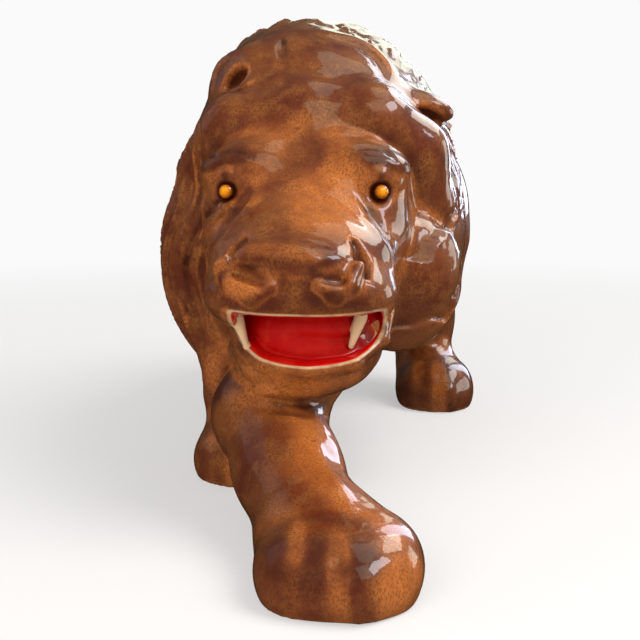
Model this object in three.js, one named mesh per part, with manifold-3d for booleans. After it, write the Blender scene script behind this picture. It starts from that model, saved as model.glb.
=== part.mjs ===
// A prowling lion of glazed earthenware, cast in one piece, with two glass eyes set into sockets in its face.
// Millimetres. The lion faces -Y, +X is its left side and +Z is up. It stands on its four paws at z = 0.
// The figure is one distance field, built up as a modeller builds up clay: rounded masses are pressed
// together, the mouth, nostrils and ears are carved out, and creases and rolls are drawn in. A closed net of
// triangles is then drawn over the field and thinned where the form is plain.
import * as THREE from "three";
import { mergeVertices } from "three/addons/utils/BufferGeometryUtils.js";
import Module from "manifold-3d";

// The head is turned a little to the lion's left. Its own frame has its origin on the floor below the eyes,
// and reads [to the lion's left, forward, up].
const HEAD_AT = [10, -110];
const HEAD_YAW = THREE.MathUtils.degToRad(7);

const EYE_SPACING = 79;
const EYE_FORWARD = -0.5;
const EYE_HEIGHT = 169;
const EYE_RADIUS = 4.2;
const EYE_GAP = 0.3;

// The mouth's outline seen from in front is a squared D. Its middle is off the head's, and its corners rise.
const MOUTH = { middle: 5, halfWidth: 35, top: 113, depth: 22, squareness: 2.6, cornerRise: 1.6 };

// Paws: the middle of the sole, how far the toes turn towards +X in degrees, and the width over the toes.
const FORE_LEFT_PAW = { at: [44, -207], toeOut: 11, width: 69 };
const FORE_RIGHT_PAW = { at: [-30, -46], toeOut: -6, width: 65 };
const HIND_LEFT_PAW = { at: [61, 150], toeOut: 12, width: 52 };
const HIND_RIGHT_PAW = { at: [-53, 102], toeOut: -8, width: 58 };

// Locks of the mane: two layers of overlapping tongues of clay that run back over the top and slant down
// the sides. The slant is in degrees, and the tip is a part of the width.
const LOCK = { width: 27, length: 66, height: 6, tip: 0.3, slant: 58, lowerLayer: 0.8 };
const LOCK_SWAY = { height: 5, length: 17 };
const MANE_AXIS = { x: -2, z: 150 };
const MANE_RADIUS = 88;
const MANE_END = 104;

// The net: its cells, the box that it covers, and the number of triangles that are kept.
const CELL = { face: 3, head: 3.4, body: 5, across: 4.2 };
const HEAD_END = -70;
const FACE = { x: [-36, 56], z: [84, 150] };
const NET_BOX = { x: [-104, 106], y: [-250, 262], z: [-5, 287] };
const TRIANGLES_KEPT = 9200;

const degrees = THREE.MathUtils.degToRad;
const clamp = THREE.MathUtils.clamp;
const mix = THREE.MathUtils.lerp;
const smooth = (low, high, v) => THREE.MathUtils.smoothstep(v, low, high);

// Union, cut and overlap of two distances, each rounded over about k millimetres.
function blend(a, b, k) {
  const h = Math.max(k - Math.abs(a - b), 0) / k;
  return Math.min(a, b) - (h * h * k) / 4;
}
const carved = (a, b, k) => -blend(-a, b, k);
const overlap = (a, b, k) => -blend(-a, -b, k);

// Shapes. Each takes its sizes and gives a function from a point [x, y, z] to a distance.
// A turn is [pitch, roll, yaw] in degrees.
function turnedBack(centre, turn) {
  if (!turn) return (p) => [p[0] - centre[0], p[1] - centre[1], p[2] - centre[2]];
  const [pitch, roll, yaw] = turn.map(degrees);
  const rotation = new THREE.Matrix4().makeRotationFromEuler(new THREE.Euler(pitch, roll, yaw, "ZXY"));
  const m = rotation.elements;
  return (p) => {
    const x = p[0] - centre[0];
    const y = p[1] - centre[1];
    const z = p[2] - centre[2];
    return [m[0] * x + m[1] * y + m[2] * z, m[4] * x + m[5] * y + m[6] * z, m[8] * x + m[9] * y + m[10] * z];
  };
}

function mass(centre, radii, turn) {
  const local = turnedBack(centre, turn);
  const [a, b, c] = radii;
  return (p) => {
    const q = local(p);
    const u = Math.hypot(q[0] / a, q[1] / b, q[2] / c) + 1e-9;
    const v = Math.hypot(q[0] / (a * a), q[1] / (b * b), q[2] / (c * c)) + 1e-9;
    return (u * (u - 1)) / v;
  };
}

function block(centre, halfSizes, round, turn) {
  const local = turnedBack(centre, turn);
  return (p) => {
    const out = local(p).map((v, i) => Math.abs(v) - (halfSizes[i] - round));
    const outside = Math.hypot(...out.map((v) => Math.max(v, 0)));
    return outside + Math.min(Math.max(...out), 0) - round;
  };
}

// A limb of round section through stations [x, y, z, radius], softened over `join` where two stretches meet.
function limb(join, ...stations) {
  const stretches = stations.slice(1).map((end, i) => {
    const start = stations[i];
    const axis = [end[0] - start[0], end[1] - start[1], end[2] - start[2]];
    return { start, end, axis, square: axis[0] ** 2 + axis[1] ** 2 + axis[2] ** 2 };
  });
  return (p) => {
    let d = Infinity;
    for (const { start, end, axis, square } of stretches) {
      const q = [p[0] - start[0], p[1] - start[1], p[2] - start[2]];
      const t = clamp((q[0] * axis[0] + q[1] * axis[1] + q[2] * axis[2]) / square, 0, 1);
      const reach = Math.hypot(q[0] - t * axis[0], q[1] - t * axis[1], q[2] - t * axis[2]);
      d = blend(d, reach - mix(start[3], end[3], t), join);
    }
    return d;
  };
}

const paired = (shape) => (p) => shape([Math.abs(p[0]), p[1], p[2]]);

// What one stroke of the modelling tool takes off: a groove of that depth and half width through the places,
// or a roll that stands up where the depth is below 0. It fades towards both ends.
function stroke(depth, width, ...places) {
  const axes = [0, 1, 2];
  const reach = 2.5 * width;
  const low = axes.map((k) => Math.min(...places.map((place) => place[k])) - reach);
  const high = axes.map((k) => Math.max(...places.map((place) => place[k])) + reach);
  let whole = 0;
  const steps = places.slice(1).map((end, i) => {
    const start = places[i];
    const axis = axes.map((k) => end[k] - start[k]);
    const size = Math.hypot(...axis);
    whole += size;
    return { start, axis, size, gone: whole - size };
  });
  const fade = 0.28;
  const faintest = 0.25;
  return (p) => {
    if (axes.some((k) => p[k] < low[k] || p[k] > high[k])) return 0;
    let nearest = Infinity;
    let along = 0;
    for (const { start, axis, size, gone } of steps) {
      const q = axes.map((k) => p[k] - start[k]);
      const t = clamp((q[0] * axis[0] + q[1] * axis[1] + q[2] * axis[2]) / size ** 2, 0, 1);
      const d = Math.hypot(...axes.map((k) => q[k] - t * axis[k]));
      if (d >= nearest) continue;
      nearest = d;
      along = (gone + t * size) / whole;
    }
    const ends = smooth(0, fade, along) * smooth(0, fade, 1 - along);
    return depth * mix(faintest, 1, ends) * Math.exp(-((nearest / width) ** 2));
  };
}

// A sculpt starts from one shape, and each step adds a shape, cuts one with its rounding in front, or draws.
const add = (k, shape) => (p, d) => blend(d, shape(p), k);
const cut = (k, shape) => (p, d) => carved(d, shape(p), k);
const draw = (taken) => (p, d) => d + taken(p);
const sculpt = (first, ...steps) => (p) => steps.reduce((d, step) => step(p, d), first(p));

function headPoint(p) {
  const x = p[0] - HEAD_AT[0];
  const y = p[1] - HEAD_AT[1];
  const c = Math.cos(HEAD_YAW);
  const s = Math.sin(HEAD_YAW);
  return [x * c + y * s, x * s - y * c, p[2]];
}

function fromHead([left, forward, up]) {
  const c = Math.cos(HEAD_YAW);
  const s = Math.sin(HEAD_YAW);
  return [HEAD_AT[0] + left * c + forward * s, HEAD_AT[1] + left * s - forward * c, up];
}

const inHead = (shape) => (p) => shape(headPoint(p));

// The open mouth: its outline, cut back to a rounded palate and tongue.
function mouth() {
  const throat = mass([MOUTH.middle, 1, 100], [38, 43, 33]);
  const widest = MOUTH.top - 1.5;
  const n = MOUTH.squareness;
  return (q) => {
    const across = Math.abs(q[0] - MOUTH.middle) / MOUTH.halfWidth;
    const down = Math.abs(q[2] - widest) / MOUTH.depth;
    const bow = ((across ** n + down ** n) ** (1 / n) - 1) * MOUTH.depth;
    const lip = q[2] - MOUTH.top + 0.6 - MOUTH.cornerRise * across ** 2;
    const outline = Math.max(overlap(bow, lip, 2), -q[1]);
    return overlap(outline, -throat(q), 3);
  };
}

function lowerLip() {
  const roll = limb(3, [39.5, 16, 110, 2.4], [36, 28, 98, 3], [22.5, 43, 88.5, 3.2], [0, 50, 86.5, 3.2]);
  return (q) => roll([Math.abs(q[0] - MOUTH.middle), q[1], q[2]]);
}

function muzzle() {
  return sculpt(
    mass([0, 7, 136], [48, 41, 26]),
    add(8, mass([0, 12, 122], [46, 43, 24])),
    add(10, paired(mass([24, 30, 120], [23, 25, 16]))),
  );
}

function jaw() {
  const chin = mass([1, 16, 82], [30, 27, 14]);
  return sculpt(mass([1, 4, 89], [40, 42, 20]), add(10, chin));
}

// Adds the nose pad, its wings, nostrils and side pockets to the face.
function withNose(form) {
  const pad = mass([-4, 47, 139], [26, 13, 9]);
  const rightWing = limb(
    3,
    [-33, 38, 141, 2.8],
    [-36, 43, 134, 4.2],
    [-30, 50, 127, 4.8],
    [-20, 57, 124, 4.8],
    [-12, 59, 127, 3.2],
  );
  const leftWing = limb(3, [12, 59, 128, 3], [18, 58, 124.5, 4], [25, 55, 128, 3.8], [29, 49, 136, 3]);
  const rightNostril = limb(1, [-27, 53, 134, 2.6], [-17, 60, 131, 2.6]);
  const leftNostril = limb(1, [13, 61, 132, 1.8], [21, 58, 131, 2.6]);
  const leftPocket = limb(3, [27, 38, 146, 1.4], [31, 42, 138, 3.4], [32, 46, 131, 1.4]);
  const rightPocket = limb(3, [-26, 38, 147, 1], [-32, 40, 141, 2.4], [-35, 42, 134, 1]);
  return sculpt(
    form,
    add(6, pad),
    add(3, rightWing),
    add(3, leftWing),
    cut(3, leftNostril),
    cut(3, rightNostril),
    cut(3.5, leftPocket),
    cut(3.5, rightPocket),
  );
}

function face() {
  const mask = block([0, -42, 136], [52, 42, 60], 36);
  const forehead = mass([0, -54, 172], [50, 42, 42]);
  const bridge = block([0, 10, 146], [27, 54, 17], 15, [-34, 0, 0]);
  const cheek = mass([33, -18, 150], [21, 24, 28]);
  const brow = mass([36, -15, 183], [18, 13, 8], [0, 10, 0]);
  const fang = limb(1, [30, 38, 110, 3.4], [25.5, 38, 96, 1.4]);
  const eyeHollow = mass([EYE_SPACING / 2, 3, EYE_HEIGHT], [5.6, 6.5, 5.4]);
  const eyelid = limb(2, [31, -2, 172, 1.8], [39, -1, 177, 2.4], [47, -7, 173, 1.8]);
  const mouthed = sculpt(
    mask,
    add(20, forehead),
    add(16, bridge),
    add(14, paired(cheek)),
    add(12, muzzle()),
    add(16, paired(brow)),
    add(8, jaw()),
    cut(3, mouth()),
    add(5, lowerLip()),
    add(1.5, paired(fang)),
  );
  const underLeftBrow = stroke(
    2.6,
    3.2,
    [20, -21, 206],
    [38, -20, 201],
    [47, -22, 193],
    [56, -30, 184],
    [65, -36, 175],
    [67, -40, 164],
  );
  const roundRightMask = stroke(
    2.6,
    3,
    [-30, -16, 197],
    [-44, -22, 194],
    [-54, -31, 187],
    [-59, -37, 176],
    [-60, -36, 160],
    [-56, -30, 140],
  );
  const muzzleCrease = stroke(1.6, 3.2, [26, 6, 176], [33, 7, 160], [44, 14, 147], [50, 18, 132]);
  return sculpt(
    withNose(mouthed),
    cut(4, paired(eyeHollow)),
    add(4, paired(eyelid)),
    draw(underLeftBrow),
    draw(roundRightMask),
    draw(paired(muzzleCrease)),
  );
}

// Adds the two ears: the right one is a cup that opens forward, the left one a leaf that is laid back.
function withEars(form) {
  return sculpt(
    form,
    add(12, mass([-37, -34, 231], [24, 14, 16], [-25, -12, -30])),
    cut(2.5, mass([-40, -56, 229], [9, 10, 6], [-20, -38, -10])),
    add(5, mass([63, -26, 215], [19, 12, 8.5], [0, 16, 14])),
    cut(2.5, mass([70, -36, 207], [11, 9, 4.5], [0, 24, 14])),
  );
}

// Height from 0 to 1 of one layer of tongues, which lags behind the other by a part of a tongue.
function tongue(along, across, lag) {
  const place = across / LOCK.width + lag;
  const column = Math.floor(place);
  const row = along / LOCK.length + lag + 0.5 * Math.abs(column % 2);
  const toTip = row - Math.floor(row);
  const halfWidth = 0.5 * (1 - (1 - LOCK.tip) * smooth(0.45, 1, toTip));
  const ridge = Math.max(1 - ((place - column - 0.5) / halfWidth) ** 2, 0);
  const rise = smooth(0, 0.4, toTip) * mix(0.45, 1, toTip) * (1 - smooth(0.88, 1, toTip));
  return rise * ridge;
}

// How high the locks stand at a point, and how far the point is past the mane's ragged rear edge.
function locks(p) {
  const around = Math.atan2(Math.abs(p[0] - MANE_AXIS.x), p[2] - MANE_AXIS.z);
  const arc = around * MANE_RADIUS;
  const slant = degrees(LOCK.slant) * smooth(0.4, 1.4, around);
  const sway = LOCK_SWAY.height * Math.sin(p[1] / LOCK_SWAY.length + around * 1.5);
  const along = arc * Math.sin(slant) + p[1] * Math.cos(slant);
  const across = arc * Math.cos(slant) - p[1] * Math.sin(slant) + sway;
  const height = Math.max(tongue(along, across, 0), LOCK.lowerLayer * tongue(along, across, 0.5));
  const behindFace = smooth(-30, 10, p[1] + 34 * smooth(0.7, 1.5, around));
  const above = 1 - smooth(1.6, 2.1, around);
  const scallop = 10 * Math.cos((2 * Math.PI * across) / LOCK.width);
  const end = MANE_END + scallop + 6 * Math.cos(3 * around) - 30 * smooth(1.2, 2, around);
  return { height: LOCK.height * height * behindFace * above, pastEnd: p[1] - end };
}

// What a lobe on the lion's left cheek adds, below 0: it stands up along a wavy edge from the front place to
// the back one, [y, z] each, and fades below it.
function lobe(front, back, height) {
  const run = back[0] - front[0];
  const rise = back[1] - front[1];
  const whole = Math.hypot(run, rise);
  return (p) => {
    const part = ((p[1] - front[0]) * run + (p[2] - front[1]) * rise) / whole;
    const straight = ((p[1] - front[0]) * rise - (p[2] - front[1]) * run) / whole;
    const under = straight + 3.2 * Math.sin(part / 5.5) + 1.4 * Math.sin(part / 2.6 + 1);
    const upright = smooth(0, 3.5, under) * (1 - smooth(14, 44, under));
    const ends = smooth(-14, 6, part) * (1 - smooth(whole - 8, whole + 14, part));
    return -height * upright * ends * smooth(40, 54, p[0]);
  };
}

// The deep creases between the locks, the band and the crown, and the roll beside the crown's edge.
const folds = () => [
  stroke(3.2, 2.4, [-15, -40, 252], [-12, -62, 240], [-7, -81, 224]),
  stroke(3, 3.4, [4, -40, 256], [28, -34, 250], [38, -38, 242], [47, -52, 230], [56, -66, 219]),
  stroke(-2.4, 5, [12, -30, 257], [34, -26, 250], [46, -34, 240], [54, -44, 230]),
  stroke(2.6, 3, [52, -70, 219], [68, -54, 213], [79, -38, 200], [84, -30, 186]),
  stroke(2.6, 2.8, [-4, -80, 225], [-24, -76, 224], [-46, -62, 219], [-64, -34, 214]),
  stroke(2.2, 2.4, [-74, -50, 160], [-72, -66, 130], [-62, -82, 100], [-50, -88, 78]),
];

function mane() {
  const ruff = mass([1, -8, 165], [80, 90, 88]);
  const withers = mass([-6, 48, 181], [76, 84, 86]);
  const crest = mass([-16, 4, 214], [44, 60, 50]);
  const crown = inHead(mass([0, -95, 193], [56, 54, 62]));
  const bulk = sculpt(ruff, add(20, withers), add(16, crest), add(16, crown));
  const locked = (p) => {
    const { height, pastEnd } = locks(p);
    return overlap(bulk(p) - height, pastEnd, 5);
  };
  const leftLobe = mass([49, -58, 121], [37, 32, 41]);
  const rightLobe = mass([-48, -52, 128], [35.5, 38, 58]);
  const lockOverLeg = limb(4, [-44, -66, 90, 21], [-40, -86, 64, 11], [-37, -92, 56, 6]);
  const lobes = sculpt(leftLobe, add(8, rightLobe), add(10, lockOverLeg));
  const chest = mass([-6, -62, 105], [42, 52, 44]);
  const band = limb(
    12,
    [-54, -46, 140, 16],
    [-50, -56, 178, 19],
    [-34, -66, 198, 21],
    [2, -66, 203, 22],
    [38, -62, 203, 21],
    [59, -50, 188, 19],
    [68, -44, 160, 16],
  );
  const drawn = [lobe([-112, 130], [-40, 156], 3.6), lobe([-92, 92], [-20, 128], 3.4), ...folds()];
  const whole = withEars(sculpt(locked, add(6, lobes), add(12, chest), add(7, band)));
  return sculpt(whole, ...drawn.map(draw));
}

function trunk() {
  return sculpt(
    limb(30, [0, 20, 155, 70], [0, 105, 170, 54], [0, 165, 166, 57]),
    add(18, mass([42, 158, 142], [43, 54, 62])),
    add(18, mass([-42, 148, 142], [43, 54, 62])),
    add(18, mass([46, 12, 140], [42, 56, 56])),
    add(18, mass([-46, 0, 130], [42, 55, 62])),
  );
}

// A paw in its own frame reads [sideways, forward, up], with its origin at the middle of the sole. Its four
// toes are given by their place across the paw, as a part of its half width, and how far forward and up they
// sit. The clefts between them are given the same way.
function paw({ at, toeOut, width }) {
  const half = width / 2;
  const c = Math.cos(degrees(toeOut));
  const s = Math.sin(degrees(toeOut));
  const places = [
    [-0.68, 9, 11],
    [-0.25, 19, 12],
    [0.24, 24, 12],
    [0.66, 6, 13],
  ];
  const toeRadii = [0.35 * half, 19, 15];
  const toes = places.map(([across, forward, up]) => mass([across * half, forward, up], toeRadii));
  const clefts = [
    [-0.48, 27],
    [-0.02, 34],
    [0.46, 25],
  ].map(([across, forward]) => {
    const x = across * half;
    return stroke(2, 3.4, [x, forward - 18, 29], [x, forward - 2, 22], [x, forward + 2, 5]);
  });
  const core = block([0, 5, 9], [0.88 * half, 28, 17], 16);
  const heel = sculpt(mass([0, -6, 12], [0.94 * half, 36, 25]), add(12, core));
  const front = sculpt(toes[0], ...toes.slice(1).map((toe) => add(14, toe)));
  const whole = sculpt(heel, add(12, front), ...clefts.map(draw));
  return (p) => {
    const x = p[0] - at[0];
    const y = p[1] - at[1];
    return whole([x * c + y * s, x * s - y * c, p[2]]);
  };
}

function legs() {
  const foreLeft = limb(
    10,
    [34, -30, 118, 38],
    [3, -81, 83, 30],
    [-7, -118, 54, 28],
    [9.5, -150, 34, 25.5],
    [26, -182, 20, 25.5],
  );
  const foreRight = limb(10, [-46, -5, 120, 38], [-44, -8, 75, 30], [-41, -20, 42, 27], [-34, -35, 22, 24]);
  const hindLeft = limb(12, [44, 152, 118, 38], [48, 142, 90, 30], [47, 182, 60, 25], [51, 173, 32, 21]);
  const hindRight = limb(12, [-44, 145, 118, 38], [-50, 118, 90, 31], [-50, 140, 60, 24], [-51, 124, 32, 21]);
  const ridge = stroke(-2, 5, [22, -160, 58], [34, -182, 46], [50, -206, 38]);
  const besideRidge = stroke(1.5, 5, [8, -168, 56], [20, -192, 46], [36, -216, 40]);
  const each = [
    sculpt(foreLeft, add(16, paw(FORE_LEFT_PAW)), draw(ridge), draw(besideRidge)),
    sculpt(foreRight, add(16, paw(FORE_RIGHT_PAW))),
    sculpt(hindLeft, add(16, paw(HIND_LEFT_PAW))),
    sculpt(hindRight, add(16, paw(HIND_RIGHT_PAW))),
  ];
  return (p) => Math.min(...each.map((leg) => leg(p)));
}

const tail = () =>
  limb(
    3,
    [0, 190, 184, 23],
    [1, 208, 177, 16.5],
    [3, 222, 164, 12.5],
    [5, 232, 144, 10.5],
    [6, 237, 120, 9.5],
    [6, 238, 96, 9.5],
    [4, 236, 76, 11],
    [2, 231, 56, 10.5],
    [0, 224, 38, 7.5],
    [0, 219, 28, 4],
  );

function lion() {
  const aboveLedge = stroke(-2.4, 3.4, [-12, -146, 72], [2, -150, 73], [16, -147, 71], [30, -138, 72]);
  const ledge = stroke(2.2, 2.6, [-14, -148, 66], [2, -153, 66], [18, -150, 64], [32, -140, 66]);
  const figure = sculpt(
    trunk(),
    add(14, legs()),
    add(5, mane()),
    add(10, tail()),
    add(6, inHead(face())),
    draw(aboveLedge),
    draw(ledge),
  );
  const soleRounding = 1.5;
  return (p) => overlap(figure(p), -p[2], soleRounding);
}

const within = (v, [low, high]) => v > low && v < high;

// The lattice lines along one axis, with a cell size that may depend on the place.
function lines([start, end], cellAt) {
  const places = [start];
  while (places.at(-1) < end) places.push(places.at(-1) + cellAt(places.at(-1)));
  return places;
}

// Samples the field on the lattice. Going up a column, the samples that a distance rules out are skipped.
function sampled(field, xs, ys, zs) {
  const values = new Float32Array(xs.length * ys.length * zs.length);
  const steepest = 2;
  let n = 0;
  for (const x of xs)
    for (const y of ys) {
      let skip = 0;
      let d = 0;
      for (const z of zs) {
        if (skip > 0) skip -= 1;
        else {
          d = field([x, y, z]);
          skip = Math.floor(Math.abs(d) / (steepest * CELL.across));
        }
        values[n++] = d;
      }
    }
  return values;
}

// Where inside and outside meet only at a corner or an edge, the surface would touch itself. The outside
// sample that is nearest to the surface is filled there. Samples are only ever filled, so this ends.
function untangle(values, [x, y, z]) {
  const quarters = [[x, y], [y, z], [z, x]].map(([u, v]) => [u, v, u + v]);
  const diagonals = [[0, x + y + z], [x, y + z], [y, x + z], [z, x + y]];
  const cube = diagonals.flat();
  const filled = -1e-3;
  const inside = (n) => values[n] < 0;
  const fillWeakest = (n, corners) => {
    const open = corners.map((corner) => n + corner).filter((corner) => !inside(corner));
    values[open.reduce((a, b) => (values[b] < values[a] ? b : a))] = filled;
  };
  const last = values.length - x - y - z;
  for (let fills = 1; fills > 0; ) {
    fills = 0;
    for (let n = 0; n < last; n++) {
      for (const [u, v, uv] of quarters)
        if (inside(n) === inside(n + uv) && inside(n + u) === inside(n + v) && inside(n) !== inside(n + u)) {
          fillWeakest(n, [0, u, v, uv]);
          fills += 1;
        }
      let count = 0;
      for (const corner of cube) if (inside(n + corner)) count += 1;
      if (count !== 2 && count !== 6) continue;
      const minority = count === 2;
      if (!diagonals.some(([a, b]) => inside(n + a) === minority && inside(n + b) === minority)) continue;
      fillWeakest(n, cube);
      fills += 1;
    }
  }
}

// A closed net over the field's zero surface: one point in each cell that the surface passes through, and one
// square across each lattice edge that it crosses.
function drawNet(field) {
  const axes = [
    lines(NET_BOX.x, (x) => (within(x, FACE.x) ? CELL.face : CELL.across)),
    lines(NET_BOX.y, (y) => (y < HEAD_END ? CELL.head : CELL.body)),
    lines(NET_BOX.z, (z) => (within(z, FACE.z) ? CELL.face : CELL.across)),
  ];
  const values = sampled(field, ...axes);
  const stride = [axes[1].length * axes[2].length, axes[2].length, 1];
  untangle(values, stride);
  const cells = new Map();
  const squares = [];
  const index = [0, 0, 0];
  for (let n = 0; n < values.length; n++) {
    index[0] = Math.floor(n / stride[0]);
    index[1] = Math.floor(n / stride[1]) % axes[1].length;
    index[2] = n % axes[2].length;
    for (let axis = 0; axis < 3; axis++) {
      if (index[axis] + 1 >= axes[axis].length) continue;
      const here = values[n];
      const next = values[n + stride[axis]];
      if (here < 0 === next < 0) continue;
      const crossing = index.map((i, k) => axes[k][i]);
      crossing[axis] = mix(crossing[axis], axes[axis][index[axis] + 1], here / (here - next));
      const [u, v] = [stride[(axis + 1) % 3], stride[(axis + 2) % 3]];
      const square = [n - u - v, n - v, n, n - u];
      for (const cell of square) {
        if (!cells.has(cell)) cells.set(cell, { sum: [0, 0, 0], count: 0 });
        const entry = cells.get(cell);
        entry.count += 1;
        crossing.forEach((value, k) => (entry.sum[k] += value));
      }
      squares.push(here < 0 ? square : square.reverse());
    }
  }
  const place = new Map([...cells.keys()].map((cell, i) => [cell, i]));
  const points = [...cells.values()].map(({ sum, count }) => settled(field, sum.map((v) => v / count)));
  const faces = squares.flatMap(([a, b, c, d]) => {
    const corners = [a, b, c, d].map((cell) => place.get(cell));
    return [[corners[0], corners[1], corners[2]], [corners[0], corners[2], corners[3]]];
  });
  return { points, faces };
}

// Moves a point onto the field's surface, and onto the floor where it is within a hair of it.
function settled(field, start) {
  const nudge = 0.4;
  const hair = 0.35;
  const gentlestSlope = 0.2;
  let p = start;
  for (let round = 0; round < 2; round++) {
    const d = field(p);
    const slope = [0, 1, 2].map((k) => {
      const ahead = p.map((v, i) => (i === k ? v + nudge : v));
      const behind = p.map((v, i) => (i === k ? v - nudge : v));
      return (field(ahead) - field(behind)) / (2 * nudge);
    });
    const square = Math.max(slope[0] ** 2 + slope[1] ** 2 + slope[2] ** 2, gentlestSlope);
    const step = clamp(d, -CELL.head, CELL.head) / square;
    p = p.map((v, k) => v - slope[k] * step);
  }
  if (Math.abs(p[2]) < hair) p[2] = 0;
  return p;
}

// Twice the area of a triangle times its unit normal.
function areaVector(a, b, c) {
  const u = [b[0] - a[0], b[1] - a[1], b[2] - a[2]];
  const v = [c[0] - a[0], c[1] - a[1], c[2] - a[2]];
  return [u[1] * v[2] - u[2] * v[1], u[2] * v[0] - u[0] * v[2], u[0] * v[1] - u[1] * v[0]];
}

// Error measure of a point: the squared distances to the planes that it stands for, as a symmetric 4 x 4 form
// in ten numbers.
function planeForm([a, b, c]) {
  const n = areaVector(a, b, c);
  const size = Math.hypot(...n);
  const [x, y, z] = n.map((v) => v / (size || 1));
  const w = -(x * a[0] + y * a[1] + z * a[2]);
  return [x * x, x * y, x * z, x * w, y * y, y * z, y * w, z * z, z * w, w * w].map((v) => v * size);
}

function error(f, [x, y, z]) {
  const squares = f[0] * x * x + f[4] * y * y + f[7] * z * z + f[9];
  return squares + 2 * (f[1] * x * y + f[2] * x * z + f[3] * x + f[5] * y * z + f[6] * y + f[8] * z);
}

// Thins a closed net by drawing edges together, the ones that change the form least first. An edge is left
// alone where that would fold a triangle over or pinch the surface.
function thinned({ points, faces }, wanted) {
  const forms = points.map(() => new Array(10).fill(0));
  for (const face of faces) {
    const form = planeForm(face.map((i) => points[i]));
    for (const i of face) form.forEach((v, k) => (forms[i][k] += v));
  }
  const gentlest = 0.02;
  const growth = 1.35;
  for (let limit = gentlest; faces.length > wanted; limit *= growth) {
    const around = points.map(() => []);
    faces.forEach((face) => face.forEach((i) => around[i].push(face)));
    const busy = new Set();
    const joined = new Map();
    let left = faces.length;
    for (const face of faces)
      for (let corner = 0; corner < 3 && left > wanted; corner++) {
        const a = face[corner];
        const b = face[(corner + 1) % 3];
        if (a > b || busy.has(a) || busy.has(b)) continue;
        const form = forms[a].map((v, k) => v + forms[b][k]);
        const middle = points[a].map((v, k) => (v + points[b][k]) / 2);
        const costs = [points[a], points[b], middle].map((at) => ({ at, cost: error(form, at) }));
        const best = costs.reduce((x, y) => (y.cost < x.cost ? y : x));
        if (best.cost > limit || !canJoin(a, b, best.at, around, points)) continue;
        for (const near of [...around[a], ...around[b]]) near.forEach((i) => busy.add(i));
        points[a] = best.at;
        forms[a] = form;
        joined.set(b, a);
        left -= 2;
      }
    faces = faces.map((face) => face.map((i) => joined.get(i) ?? i));
    faces = faces.filter(([a, b, c]) => a !== b && b !== c && c !== a);
  }
  return { points, faces };
}

function canJoin(a, b, at, around, points) {
  const neighbours = (i) => new Set(around[i].flat().filter((j) => j !== i));
  const ofB = neighbours(b);
  if ([...neighbours(a)].filter((i) => ofB.has(i)).length !== 2) return false;
  const sharpestTurn = 0.35;
  const smallest = 0.2;
  return [...around[a], ...around[b]].every((face) => {
    if (face.includes(a) && face.includes(b)) return true;
    const before = areaVector(...face.map((i) => points[i]));
    const after = areaVector(...face.map((i) => (i === a || i === b ? at : points[i])));
    const sizes = Math.hypot(...before) * Math.hypot(...after);
    const level = before[0] * after[0] + before[1] * after[1] + before[2] * after[2];
    return level > sharpestTurn * sizes && Math.hypot(...after) > smallest;
  });
}

function geometryOf(points, faces) {
  const geometry = new THREE.BufferGeometry();
  const corners = faces.flat().flatMap((i) => points[i]);
  geometry.setAttribute("position", new THREE.Float32BufferAttribute(corners, 3));
  return mergeVertices(geometry, 1e-4);
}

const wasm = await Module();
wasm.setup();

function solid(geometry) {
  const vertProperties = geometry.attributes.position.array;
  const triVerts = new Uint32Array(geometry.index.array);
  return new wasm.Manifold(new wasm.Mesh({ numProp: 3, vertProperties, triVerts }));
}

function geometryOfSolid(made) {
  const { vertProperties, triVerts } = made.getMesh();
  const geometry = new THREE.BufferGeometry();
  geometry.setAttribute("position", new THREE.BufferAttribute(vertProperties, 3));
  geometry.setIndex(new THREE.BufferAttribute(triVerts, 1));
  return geometry;
}

function ball(radius, centre) {
  const geometry = new THREE.SphereGeometry(radius, 12, 8);
  geometry.deleteAttribute("normal");
  geometry.deleteAttribute("uv");
  return mergeVertices(geometry).translate(...centre);
}

const glaze = new THREE.MeshStandardMaterial({ color: 0x7a4522, roughness: 0.12, metalness: 0 });
const amberGlass = new THREE.MeshStandardMaterial({ color: 0xc8780a, roughness: 0.05, metalness: 0 });

const eyePlaces = {
  eye_left: fromHead([EYE_SPACING / 2, EYE_FORWARD, EYE_HEIGHT]),
  eye_right: fromHead([-EYE_SPACING / 2, EYE_FORWARD, EYE_HEIGHT]),
};

const net = thinned(drawNet(lion()), TRIANGLES_KEPT);
let body = solid(geometryOf(net.points, net.faces));
for (const centre of Object.values(eyePlaces)) {
  const socket = ball(EYE_RADIUS + EYE_GAP, centre);
  body = body.subtract(solid(socket));
}

const group = new THREE.Group();
const lionBody = new THREE.Mesh(geometryOfSolid(body), glaze);
lionBody.name = "lion_body";
group.add(lionBody);
for (const [name, centre] of Object.entries(eyePlaces)) {
  const eye = new THREE.Mesh(ball(EYE_RADIUS, [0, 0, 0]), amberGlass);
  eye.name = name;
  eye.position.set(...centre);
  group.add(eye);
}

// The origin is on the floor, under the middle of the whole figure's box.
const box = new THREE.Box3().setFromObject(group);
group.position.set(-(box.min.x + box.max.x) / 2, -(box.min.y + box.max.y) / 2, -box.min.z);

export default group;
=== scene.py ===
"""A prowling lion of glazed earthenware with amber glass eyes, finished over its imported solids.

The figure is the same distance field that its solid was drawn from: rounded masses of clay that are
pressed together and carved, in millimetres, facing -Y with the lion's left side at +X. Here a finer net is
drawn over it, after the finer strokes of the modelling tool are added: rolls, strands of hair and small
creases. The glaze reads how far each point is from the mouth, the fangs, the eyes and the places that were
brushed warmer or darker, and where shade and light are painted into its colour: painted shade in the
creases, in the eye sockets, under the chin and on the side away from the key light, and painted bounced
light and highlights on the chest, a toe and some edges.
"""

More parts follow.
